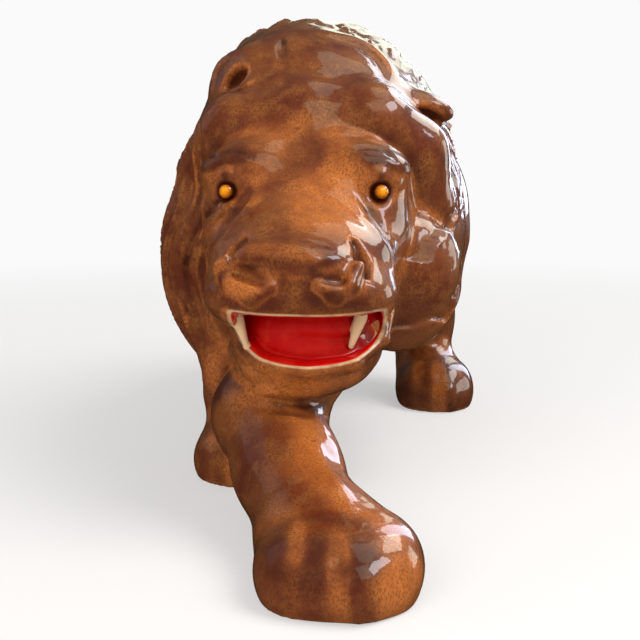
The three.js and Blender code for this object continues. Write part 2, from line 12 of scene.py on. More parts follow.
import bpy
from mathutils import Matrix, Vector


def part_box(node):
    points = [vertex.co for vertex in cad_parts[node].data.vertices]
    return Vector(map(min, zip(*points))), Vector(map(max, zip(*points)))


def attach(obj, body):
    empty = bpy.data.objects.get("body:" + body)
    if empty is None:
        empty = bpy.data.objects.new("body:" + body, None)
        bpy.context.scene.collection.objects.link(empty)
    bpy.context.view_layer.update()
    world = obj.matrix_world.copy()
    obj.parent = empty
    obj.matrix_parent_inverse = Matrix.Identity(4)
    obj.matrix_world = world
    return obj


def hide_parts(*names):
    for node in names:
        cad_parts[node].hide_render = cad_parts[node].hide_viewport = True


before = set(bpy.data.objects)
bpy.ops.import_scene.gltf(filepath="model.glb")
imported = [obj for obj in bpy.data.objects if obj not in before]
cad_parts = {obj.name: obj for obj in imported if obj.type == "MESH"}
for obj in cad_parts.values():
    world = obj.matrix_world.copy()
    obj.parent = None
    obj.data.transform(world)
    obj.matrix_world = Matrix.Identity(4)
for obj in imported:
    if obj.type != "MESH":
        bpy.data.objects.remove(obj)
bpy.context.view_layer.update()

import logging
import math
from collections.abc import Callable, Sequence
from dataclasses import dataclass
from enum import Enum

import bmesh
import bpy
import numpy as np
from mathutils import Vector

log = logging.getLogger("lion")

Shape = Callable[[np.ndarray], np.ndarray]
Place = Sequence[float]

MM = 0.001
ROOT = "root"


# Clay: distances, and how they are pressed together


def smooth(low: float, high: float, v: np.ndarray) -> np.ndarray:
    """Eased step from 0 at low to 1 at high, which may be the smaller."""
    t = np.clip((v - low) / (high - low), 0, 1)
    return t * t * (3 - 2 * t)


def blend(a: np.ndarray, b: np.ndarray, k: float) -> np.ndarray:
    """Union of two distances, rounded over about k millimetres."""
    h = np.maximum(k - np.abs(a - b), 0) / k
    return np.minimum(a, b) - h * h * (k / 4)


def carved(a: np.ndarray, b: np.ndarray, k: float) -> np.ndarray:
    """Distance a with b cut out of it."""
    return -blend(-a, b, k)


def overlap(a: np.ndarray, b: np.ndarray, k: float) -> np.ndarray:
    """Where both distances are inside."""
    return -blend(-a, -b, k)


def length(v: np.ndarray) -> np.ndarray:
    """Length of each column of a 3 x n array."""
    return np.sqrt(np.einsum("in,in->n", v, v))


def column(values: Place) -> np.ndarray:
    """Three numbers as a column that a 3 x n array can be combined with."""
    return np.asarray(values, np.float32)[:, None]


def turned_back(p: np.ndarray, centre: Place, turn: Place | None) -> np.ndarray:
    """Points in the frame of a shape.

    Args:
        p: 3 x n points.
        centre: the shape's middle.
        turn: pitch, roll and yaw in degrees, or None.

    Returns:
        3 x n points from the shape's middle, along its own axes.
    """
    q = p - column(centre)
    if turn is None:
        return q
    cx, cy, cz = (math.cos(math.radians(t)) for t in turn)
    sx, sy, sz = (math.sin(math.radians(t)) for t in turn)
    yaw = np.array([[cz, -sz, 0], [sz, cz, 0], [0, 0, 1]])
    pitch = np.array([[1, 0, 0], [0, cx, -sx], [0, sx, cx]])
    roll = np.array([[cy, 0, sy], [0, 1, 0], [-sy, 0, cy]])
    return (yaw @ pitch @ roll).T.astype(np.float32) @ q


def mass(centre: Place, radii: Place, turn: Place | None = None) -> Shape:
    """A rounded mass of clay.

    Args:
        centre: its middle.
        radii: its three half sizes.
        turn: pitch, roll and yaw in degrees.

    Returns:
        The shape.
    """
    sizes = column(radii)

    def distance(p: np.ndarray) -> np.ndarray:
        """Distance of each of 3 x n points from the mass."""
        q = turned_back(p, centre, turn) / sizes
        u = length(q) + 1e-9
        return u * (u - 1) / (length(q / sizes) + 1e-9)

    return distance


def block(centre: Place, half_sizes: Place, rounding: float, turn: Place | None = None) -> Shape:
    """A block with rounded edges.

    Args:
        centre: its middle.
        half_sizes: its three half sizes, rounding included.
        rounding: radius of its edges.
        turn: pitch, roll and yaw in degrees.

    Returns:
        The shape.
    """
    core = column(half_sizes) - rounding

    def distance(p: np.ndarray) -> np.ndarray:
        """Distance of each of 3 x n points from the block."""
        out = np.abs(turned_back(p, centre, turn)) - core
        return length(np.maximum(out, 0)) + np.minimum(out.max(0), 0) - rounding

    return distance


def limb(join: float, *stations: Place) -> Shape:
    """A limb of round section.

    Args:
        join: rounding where two stretches meet.
        stations: [x, y, z, radius] of each station.

    Returns:
        The shape.
    """
    points = [np.asarray(s, np.float32) for s in stations]

    def distance(p: np.ndarray) -> np.ndarray:
        """Distance of each of 3 x n points from the limb."""
        found = None
        for start, end in zip(points[:-1], points[1:]):
            axis = (end - start)[:3]
            q = p - start[:3, None]
            t = np.clip(axis @ q / (axis @ axis), 0, 1)
            d = length(q - t * axis[:, None]) - (start[3] + (end[3] - start[3]) * t)
            found = d if found is None else blend(found, d, join)
        return found

    return distance


def paired(shape: Shape) -> Shape:
    """The shape on both sides of the middle plane."""
    return lambda p: shape(np.stack([np.abs(p[0]), p[1], p[2]]))


def stroke(depth: float, width: float, *places: Place) -> Shape:
    """What one stroke of the modelling tool takes off, in millimetres at each point.

    Args:
        depth: deepest of the groove, or below 0 for a roll that stands up.
        width: half width of the groove.
        places: points [x, y, z] that the tool is drawn through. The stroke fades towards both ends.

    Returns:
        The depth taken off at each point.
    """
    points = [np.asarray(place, np.float32) for place in places]
    low = np.min(points, axis=0) - 2.5 * width
    high = np.max(points, axis=0) + 2.5 * width
    steps = [float(np.linalg.norm(b - a)) for a, b in zip(points[:-1], points[1:])]
    whole = sum(steps)
    fade, faintest = 0.28, 0.25

    def taken(p: np.ndarray) -> np.ndarray:
        """Depth taken off at each of 3 x n points."""
        out = np.zeros(p.shape[1], np.float32)
        near = np.flatnonzero(((p > low[:, None]) & (p < high[:, None])).all(0))
        if not len(near):
            return out
        q, best, along, gone = p[:, near], None, None, 0.0
        for start, end, step in zip(points[:-1], points[1:], steps):
            axis = end - start
            t = np.clip(axis @ (q - start[:, None]) / (step * step), 0, 1)
            d = length(q - start[:, None] - t * axis[:, None])
            here = gone + t * step
            gone += step
            along = here if best is None else np.where(d < best, here, along)
            best = d if best is None else np.minimum(d, best)
        ends = smooth(0, fade, along / whole) * smooth(0, fade, 1 - along / whole)
        out[near] = depth * (faintest + (1 - faintest) * ends) * np.exp(-((best / width) ** 2))
        return out

    return taken


class Sculpt:
    """A form that starts from one shape, and to which shapes are added, cut or drawn in order."""

    def __init__(self, first: Shape) -> None:
        """Starts from a first shape."""
        self.first = first
        self.steps: list[Callable[[np.ndarray, np.ndarray], np.ndarray]] = []

    def add(self, k: float, *shapes: Shape) -> "Sculpt":
        """Presses shapes on, each rounded over k millimetres, and returns the form."""
        for shape in shapes:
            self.steps.append(lambda p, d, shape=shape: blend(d, shape(p), k))
        return self

    def cut(self, k: float, *shapes: Shape) -> "Sculpt":
        """Cuts shapes out, each rounded over k millimetres, and returns the form."""
        for shape in shapes:
            self.steps.append(lambda p, d, shape=shape: carved(d, shape(p), k))
        return self

    def draw(self, *strokes: Shape) -> "Sculpt":
        """Draws strokes of the tool into the surface, and returns the form."""
        for taken in strokes:
            self.steps.append(lambda p, d, taken=taken: d + taken(p))
        return self

    def __call__(self, p: np.ndarray) -> np.ndarray:
        """Distance of each of 3 x n points."""
        d = self.first(p)
        for step in self.steps:
            d = step(p, d)
        return d


@dataclass(frozen=True)
class HeadFrame:
    """The turned head's frame: it reads [to the lion's left, forward, up] from the floor below the eyes."""

    at: tuple[float, float] = (10, -110)
    yaw: float = 7

    def inside(self, p: np.ndarray) -> np.ndarray:
        """Points of the figure, in the head's frame."""
        c, s = math.cos(math.radians(self.yaw)), math.sin(math.radians(self.yaw))
        x, y = p[0] - self.at[0], p[1] - self.at[1]
        return np.stack([x * c + y * s, x * s - y * c, p[2]])

    def outside(self, place: Place) -> tuple[float, float, float]:
        """One place of the head, in the figure's frame."""
        c, s = math.cos(math.radians(self.yaw)), math.sin(math.radians(self.yaw))
        left, forward, up = place
        return (self.at[0] + left * c + forward * s, self.at[1] + left * s - forward * c, up)

    def carry(self, shape: Shape) -> Shape:
        """A shape given in the head's frame, for points of the figure."""
        return lambda p: shape(self.inside(p))


@dataclass(frozen=True)
class Eyes:
    """Places and size of the two glass eyes, in the head's frame."""

    spacing: float = 79
    forward: float = -0.5
    height: float = 169
    radius: float = 4.2

    def place(self, side: int) -> tuple[float, float, float]:
        """Middle of one eye; side is 1 for the lion's left and -1 for its right."""
        return (side * self.spacing / 2, self.forward, self.height)


@dataclass(frozen=True)
class Mouth:
    """The open mouth: a D with its flat side up, cut back to a rounded palate and tongue."""

    middle: float = 5
    half_width: float = 35
    top: float = 113
    depth: float = 22
    squareness: float = 2.6

    def outline(self, q: np.ndarray) -> np.ndarray:
        """Distance from the opening's outline, seen from the front, and from the plane that ends it."""
        n = self.squareness
        across = np.abs(q[0] - self.middle) / self.half_width
        down = np.abs(q[2] - self.top + 1.5) / self.depth
        bow = ((across**n + down**n) ** (1 / n) - 1) * self.depth
        lip = q[2] - self.top + 0.6 - 1.6 * ((q[0] - self.middle) / self.half_width) ** 2
        return np.maximum(overlap(bow, lip, 2), -q[1])

    def hollow(self) -> Shape:
        """The cavity, in the head's frame."""
        throat = mass([self.middle, 1, 100], [38, 43, 33])
        return lambda q: overlap(self.outline(q), -throat(q), 3)

    def fangs(self) -> Shape:
        """The two upper fangs, in the head's frame."""
        return paired(limb(1, [30, 38, 110, 3.4], [25.5, 38, 96, 1.4]))

    def lower_lip(self) -> Shape:
        """The roll of the lower lip, in the head's frame."""
        roll = limb(3, [39.5, 16, 110, 2.4], [36, 28, 98, 3.0], [22.5, 43, 88.5, 3.2], [0, 50, 86.5, 3.2])
        return lambda q: roll(np.stack([np.abs(q[0] - self.middle), q[1], q[2]]))


@dataclass(frozen=True)
class Face:
    """Mask, brows, nose, muzzle and jaw, in the head's frame."""

    eyes: Eyes
    mouth: Mouth

    def muzzle(self) -> Sculpt:
        """The wedge of the muzzle and its two pads."""
        return (
            Sculpt(mass([0, 7, 136], [48, 41, 26]))
            .add(8, mass([0, 12, 122], [46, 43, 24]))
            .add(10, paired(mass([24, 30, 120], [23, 25, 16])))
        )

    def nose(self, form: Sculpt) -> Sculpt:
        """Adds the nose pad, its wings, nostrils and creases to the face, and returns it."""
        right_wing = limb(
            3,
            [-33, 38, 141, 2.8],
            [-36, 43, 134, 4.2],
            [-30, 50, 127, 4.8],
            [-20, 57, 124, 4.8],
            [-12, 59, 127, 3.2],
        )
        left_wing = limb(3, [12, 59, 128, 3.0], [18, 58, 124.5, 4.0], [25, 55, 128, 3.8], [29, 49, 136, 3.0])
        right_nostril = limb(1, [-27, 53, 134, 2.6], [-17, 60, 131, 2.6])
        left_nostril = limb(1, [13, 61, 132, 1.8], [21, 58, 131, 2.6])
        left_pocket = limb(3, [27, 38, 146, 1.4], [31, 42, 138, 3.4], [32, 46, 131, 1.4])
        right_pocket = limb(3, [-26, 38, 147, 1.0], [-32, 40, 141, 2.4], [-35, 42, 134, 1.0])
        return (
            form.add(6, mass([-4, 47, 139], [26, 13, 9]))
            .add(3, right_wing, left_wing)
            .cut(3, left_nostril, right_nostril)
            .cut(3.5, left_pocket, right_pocket)
        )

    def strokes(self) -> list[Shape]:
        """Creases and rolls that the tool left on the face."""
        nose_roll = (
            [-30, 46, 140],
            [-22, 51, 145],
            [-12, 54, 145],
            [-4, 55, 145],
            [4, 56, 144],
            [10, 58, 139],
        )
        muzzle_roll = (
            [-35, -1, 168],
            [-41, 4, 159],
            [-51, -3, 148],
            [-57, -20, 137],
            [-57, -24, 124],
        )
        brow_edge = (
            [20, -21, 206],
            [38, -20, 201],
            [47, -22, 193],
            [56, -30, 184],
            [65, -36, 175],
            [67, -40, 164],
        )
        mask_edge = (
            [-30, -16, 197],
            [-44, -22, 194],
            [-54, -31, 187],
            [-59, -37, 176],
            [-60, -36, 160],
            [-56, -30, 140],
        )
        both = [
            stroke(-1.2, 2.0, [38, 33, 112.5], [24, 50, 114.5], [0, 56, 115]),
            stroke(1.6, 3.2, [26, 6, 176], [33, 7, 160], [44, 14, 147], [50, 18, 132]),
            stroke(-1.4, 3.2, [24, 10, 170], [29, 14, 156], [40, 22, 146]),
        ]
        nose = [
            stroke(-2.8, 2.2, *nose_roll),
            stroke(1.9, 2.2, [-30, 38, 147], [-18, 46, 151], [-4, 49, 151.5], [8, 50, 149], [16, 50, 143]),
            stroke(1.5, 2.6, [-26, 56, 137], [-14, 59, 139], [0, 60, 137], [10, 60, 133]),
            stroke(1.3, 2.0, [-6, 60, 132], [-5, 62, 124], [-4, 58, 115]),
        ]
        lion_left = [
            stroke(1.4, 1.8, [25, -4, 190], [33, -7, 192], [41, -9, 190], [47, -5, 185]),
            stroke(2.6, 3.2, *brow_edge),
            stroke(-1.6, 3.0, [24, -16, 203], [38, -15, 196], [48, -18, 188], [56, -26, 178], [60, -32, 166]),
            stroke(1.8, 1.9, [37, -18, 200], [41, -10, 194], [43, -6, 188]),
            stroke(-1.6, 2.4, [60, -32, 160], [63, -30, 152], [58, -24, 148]),
        ]
        lion_right = [
            stroke(-2.6, 2.2, *muzzle_roll),
            stroke(1.8, 2.2, [-39, -4, 170], [-47, -2, 160], [-59, -24, 148], [-62, -28, 135]),
            stroke(1.6, 2.0, [-57, -28, 181], [-47, -8, 187], [-37, -6, 190], [-27, -1, 187]),
            stroke(-1.4, 2.6, [-58, -34, 186], [-51, -24, 192], [-39, -18, 195], [-27, -5, 192]),
            stroke(2.6, 3.0, *mask_edge),
            stroke(-1.5, 2.8, [-30, -12, 193], [-42, -17, 189], [-51, -26, 182], [-55, -30, 172]),
        ]
        return [paired(taken) for taken in both] + nose + lion_left + lion_right

    def form(self) -> Sculpt:
        """The whole face."""
        eyes = self.eyes
        eye_hollow = mass([eyes.spacing / 2, 3, eyes.height], [5.6, 6.5, 5.4])
        eyelid = limb(2, [31, -2, 172, 1.8], [39, -1, 177, 2.4], [47, -7, 173, 1.8])
        jaw = Sculpt(mass([1, 4, 89], [40, 42, 20])).add(10, mass([1, 16, 82], [30, 27, 14]))
        form = (
            Sculpt(block([0, -42, 136], [52, 42, 60], 36))
            .add(20, mass([0, -54, 172], [50, 42, 42]))
            .add(16, block([0, 10, 146], [27, 54, 17], 15, [-34, 0, 0]))
            .add(14, paired(mass([33, -18, 150], [21, 24, 28])))
            .add(12, self.muzzle())
            .add(16, paired(mass([36, -15, 183], [18, 13, 8], [0, 10, 0])))
            .add(8, jaw)
            .cut(3, self.mouth.hollow())
            .add(5, self.mouth.lower_lip())
            .add(1.5, self.mouth.fangs())
        )
        return (
            self.nose(form)
            .cut(4, paired(eye_hollow))
            .add(4, paired(eyelid))
            .draw(*self.strokes())
        )


@dataclass(frozen=True)
class Locks:
    """Two layers of overlapping tongues of clay that run back over the top of the mane and down its sides."""

    width: float = 27
    length: float = 66
    height: float = 6
    axis_height: float = 150
    radius: float = 88
    end: float = 104
    strands: int = 4
    strand_depth: float = 0.7

    def tongue(self, along: np.ndarray, across: np.ndarray, lag: float) -> np.ndarray:
        """Height from 0 to 1 of one layer of tongues, which lags behind the other by a part of a tongue."""
        column_of = np.floor(across / self.width + lag)
        off_middle = across / self.width + lag - column_of - 0.5
        row = along / self.length + lag + 0.5 * np.mod(column_of, 2)
        to_tip = row - np.floor(row)
        half_width = 0.5 * (1 - 0.7 * smooth(0.45, 1, to_tip))
        part = off_middle / half_width
        ridge = np.clip(1 - part**2, 0, 1)
        rise = smooth(0, 0.4, to_tip) * (0.45 + 0.55 * to_tip) * (1 - smooth(0.88, 1, to_tip))
        combed = np.cos(math.pi * self.strands * part) * ridge * self.strand_depth / self.height
        return rise * (ridge + combed)

    def relief(self, p: np.ndarray) -> tuple[np.ndarray, np.ndarray]:
        """Height of the locks at each point, and how far it is past the mane's ragged rear edge."""
        around = np.arctan2(np.abs(p[0] + 2), p[2] - self.axis_height)
        arc = around * self.radius
        fall = math.radians(58) * smooth(0.4, 1.4, around)
        wave = 5 * np.sin(p[1] / 17 + around * 1.5)
        along = arc * np.sin(fall) + p[1] * np.cos(fall)
        across = arc * np.cos(fall) - p[1] * np.sin(fall) + wave
        height = np.maximum(self.tongue(along, across, 0), 0.8 * self.tongue(along, across, 0.5))
        behind_face = smooth(-30, 10, p[1] + 34 * smooth(0.7, 1.5, around))
        above = 1 - smooth(1.6, 2.1, around)
        scallop = 10 * np.cos(2 * math.pi * across / self.width)
        end = self.end + scallop + 6 * np.cos(3 * around) - 30 * smooth(1.2, 2, around)
        return self.height * height * behind_face * above, p[1] - end


@dataclass(frozen=True)
class Mane:
    """The ruff, the withers behind it, the cheek lobes, the roll that frames the face, and the ears."""

    head: HeadFrame
    locks: Locks

    def ears(self, form: Sculpt) -> Sculpt:
        """Adds the two ears: the right one is a cup that opens forward, the left one a leaf laid back."""
        return (
            form.add(12, mass([-37, -34, 231], [24, 14, 16], [-25, -12, -30]))
            .cut(2.5, mass([-40, -56, 229], [9, 10, 6], [-20, -38, -10]))
            .add(5, mass([63, -26, 215], [19, 12, 8.5], [0, 16, 14]))
            .cut(2.5, mass([70, -36, 207], [11, 9, 4.5], [0, 24, 14]))
        )

    def strands(self, p: np.ndarray) -> np.ndarray:
        """What the comb takes off the ruff's sides: shallow upright waves, deeper on the lion's right."""
        lock_angle, hair_angle, depth = 0.155, 0.061, 1.2
        turn = np.arctan2(p[0], -(p[1] + 10)) + 0.05 * np.sin(p[2] / 15) + 0.01 * np.sin(p[2] / 6.5)
        wave = np.cos(turn * 2 * math.pi / lock_angle) + 0.5 * np.cos(turn * 2 * math.pi / hair_angle + 1)
        side = np.where(p[0] < 0, smooth(38, 58, -p[0]), 0.1 * smooth(60, 76, p[0]))
        below_ears = smooth(70, 95, p[2]) * (1 - smooth(185, 215, p[2]))
        return depth * wave * side * below_ears * (1 - smooth(-20, 20, p[1]))

    def folds(self) -> list[Shape]:
        """Deep creases between the locks and lobes, and the rolls beside them."""
        ear_rim = (
            [-57, -41, 225],
            [-56, -38, 233],
            [-53, -35, 240],
            [-45, -40, 244],
            [-35, -46, 246],
        )
        return [
            stroke(3.2, 2.4, [-15, -40, 252], [-12, -62, 240], [-7, -81, 224]),
            stroke(3.0, 3.4, [4, -40, 256], [28, -34, 250], [38, -38, 242], [47, -52, 230], [56, -66, 219]),
            stroke(-2.4, 5.0, [12, -30, 257], [34, -26, 250], [46, -34, 240], [54, -44, 230]),
            stroke(2.6, 3.0, [52, -70, 219], [68, -54, 213], [79, -38, 200], [84, -30, 186]),
            stroke(2.6, 2.8, [-4, -80, 225], [-24, -76, 224], [-46, -62, 219], [-64, -34, 214]),
            stroke(2.4, 2.6, [84, -36, 178], [85, -34, 160], [86, -22, 140]),
            stroke(2.2, 2.4, [-74, -50, 160], [-72, -66, 130], [-62, -82, 100], [-50, -88, 78]),
            stroke(2.0, 2.2, [-60, -78, 150], [-60, -86, 124], [-50, -92, 96], [-42, -96, 74]),
            stroke(-2.4, 2.4, *ear_rim),
            stroke(-1.8, 2.2, [-50, -52, 222], [-42, -62, 220], [-33, -67, 223], [-26, -66, 229]),
        ]

    def lobe(self, p: np.ndarray, front: Place, back: Place, height: float) -> np.ndarray:
        """What a lobe on the lion's left cheek adds, below 0: it stands up along a wavy edge.

        Args:
            p: 3 x n points.
            front: front end of its upper edge, [y, z].
            back: rear end of its upper edge, [y, z].
            height: how far its edge stands up.

        Returns:
            The depth taken off at each point.
        """
        run, rise = back[0] - front[0], back[1] - front[1]
        whole = math.hypot(run, rise)
        part = ((p[1] - front[0]) * run + (p[2] - front[1]) * rise) / whole
        under = ((p[1] - front[0]) * rise - (p[2] - front[1]) * run) / whole
        under = under + 3.2 * np.sin(part / 5.5) + 1.4 * np.sin(part / 2.6 + 1)
        upright = smooth(0, 3.5, under) * (1 - smooth(14, 44, under))
        ends = smooth(-14, 6, part) * (1 - smooth(whole - 8, whole + 14, part))
        return -height * upright * ends * smooth(40, 54, p[0])

    def form(self) -> Sculpt:
        """The whole mane, in the figure's frame."""
        bulk = (
            Sculpt(mass([1, -8, 165], [80, 90, 88]))
            .add(20, mass([-6, 48, 181], [76, 84, 86]))
            .add(16, mass([-16, 4, 214], [44, 60, 50]))
            .add(16, self.head.carry(mass([0, -95, 193], [56, 54, 62])))
        )

        def locked(p: np.ndarray) -> np.ndarray:
            """Distance from the mane's bulk with its locks, cut at the ragged rear edge."""
            height, past_end = self.locks.relief(p)
            return overlap(bulk(p) - height, past_end, 5)

        lobes = (
            Sculpt(mass([49, -58, 121], [37, 32, 41]))
            .add(8, mass([-48, -52, 128], [35.5, 38, 58]))
            .add(10, limb(4, [-44, -66, 90, 21], [-40, -86, 64, 11], [-37, -92, 56, 6]))
        )
        band = limb(
            12,
            [-54, -46, 140, 16],
            [-50, -56, 178, 19],
            [-34, -66, 198, 21],
            [2, -66, 203, 22],
            [38, -62, 203, 21],
            [59, -50, 188, 19],
            [68, -44, 160, 16],
        )
        whole = Sculpt(locked).add(6, lobes).add(12, mass([-6, -62, 105], [42, 52, 44])).add(7, band)
        upper, lower = ([-112, 130], [-40, 156], 3.6), ([-92, 92], [-20, 128], 3.4)
        lobed = [lambda p, edge=edge: self.lobe(p, *edge) for edge in (upper, lower)]
        return self.ears(whole).draw(self.strands, *lobed, *self.folds())


@dataclass(frozen=True)
class Paw:
    """A paw: the middle of its sole, how far its toes turn towards +X in degrees, and its width."""

    at: tuple[float, float]
    toe_out: float
    width: float

    def form(self) -> Shape:
        """The paw with its four toes and the clefts between them."""
        half = self.width / 2
        c, s = math.cos(math.radians(self.toe_out)), math.sin(math.radians(self.toe_out))
        places = ((-0.68, 9, 11), (-0.25, 19, 12), (0.24, 24, 12), (0.66, 6, 13))
        toes = [mass([side * half, forward, up], [0.35 * half, 19, 15]) for side, forward, up in places]
        core = block([0, 5, 9], [0.88 * half, 28, 17], 16)
        heel = Sculpt(mass([0, -6, 12], [0.94 * half, 36, 25])).add(12, core)
        whole = heel.add(12, Sculpt(toes[0]).add(14, *toes[1:]))
        for side, forward in ((-0.48, 27), (-0.02, 34), (0.46, 25)):
            x = side * half
            cleft = [[x, forward - 18, 29], [x, forward - 2, 22], [x, forward + 2, 5]]
            whole.draw(stroke(2.0, 3.4, *cleft), stroke(0.9, 1.5, *cleft))

        def distance(p: np.ndarray) -> np.ndarray:
            """Distance of each of 3 x n points of the figure from the paw."""
            x, y = p[0] - self.at[0], p[1] - self.at[1]
            return whole(np.stack([x * c + y * s, x * s - y * c, p[2]]))

        return distance


@dataclass(frozen=True)
class Legs:
    """The four legs in a long stride, each with its paw."""

    fore_left: Paw = Paw((44, -207), 11, 69)
    fore_right: Paw = Paw((-30, -46), -6, 65)
    hind_left: Paw = Paw((61, 150), 12, 52)
    hind_right: Paw = Paw((-53, 102), -8, 58)

    def form(self) -> Shape:
        """All four legs."""
        upper = [
            limb(
                10,
                [34, -30, 118, 38],
                [3, -81, 83, 30],
                [-7, -118, 54, 28],
                [9.5, -150, 34, 25.5],
                [26, -182, 20, 25.5],
            ),
            limb(10, [-46, -5, 120, 38], [-44, -8, 75, 30], [-41, -20, 42, 27], [-34, -35, 22, 24]),
            limb(12, [44, 152, 118, 38], [48, 142, 90, 30], [47, 182, 60, 25], [51, 173, 32, 21]),
            limb(12, [-44, 145, 118, 38], [-50, 118, 90, 31], [-50, 140, 60, 24], [-51, 124, 32, 21]),
        ]
        paws = [self.fore_left, self.fore_right, self.hind_left, self.hind_right]
        each = [Sculpt(leg).add(16, paw.form()) for leg, paw in zip(upper, paws)]
        each[0].draw(
            stroke(-2.0, 5.0, [22, -160, 58], [34, -182, 46], [50, -206, 38]),
            stroke(1.5, 5.0, [8, -168, 56], [20, -192, 46], [36, -216, 40]),
        )
        return lambda p: np.minimum.reduce([leg(p) for leg in each])


@dataclass(frozen=True)
class Figure:
    """The whole lion as one distance field."""

    head: HeadFrame
    face: Face
    mane: Mane
    legs: Legs
    sole_rounding: float = 1.5

    def trunk(self) -> Sculpt:
        """Barrel, haunches and shoulders."""
        return Sculpt(limb(30, [0, 20, 155, 70], [0, 105, 170, 54], [0, 165, 166, 57])).add(
            18,
            mass([42, 158, 142], [43, 54, 62]),
            mass([-42, 148, 142], [43, 54, 62]),
            mass([46, 12, 140], [42, 56, 56]),
            mass([-46, 0, 130], [42, 55, 62]),
        )

    def tail(self) -> Shape:
        """The tail, hanging and ending in its tuft."""
        return limb(
            3,
            [0, 190, 184, 23],
            [1, 208, 177, 16.5],
            [3, 222, 164, 12.5],
            [5, 232, 144, 10.5],
            [6, 237, 120, 9.5],
            [6, 238, 96, 9.5],
            [4, 236, 76, 11],
            [2, 231, 56, 10.5],
            [0, 224, 38, 7.5],
            [0, 219, 28, 4],
        )

    def form(self) -> Shape:
        """The figure, cut flat at the floor."""
        whole = (
            self.trunk()
            .add(14, self.legs.form())
            .add(5, self.mane.form())
            .add(10, self.tail())
            .add(6, self.head.carry(self.face.form()))
            .draw(
                stroke(-2.4, 3.4, [-12, -146, 72], [2, -150, 73], [16, -147, 71], [30, -138, 72]),
                stroke(2.2, 2.6, [-14, -148, 66], [2, -153, 66], [18, -150, 64], [32, -140, 66]),
                stroke(1.6, 1.8, [-26, -132, 92], [-18, -142, 82], [-13, -148, 70], [-12, -150, 62]),
            )
        )
        return lambda p: overlap(whole(p), -p[2], self.sole_rounding)


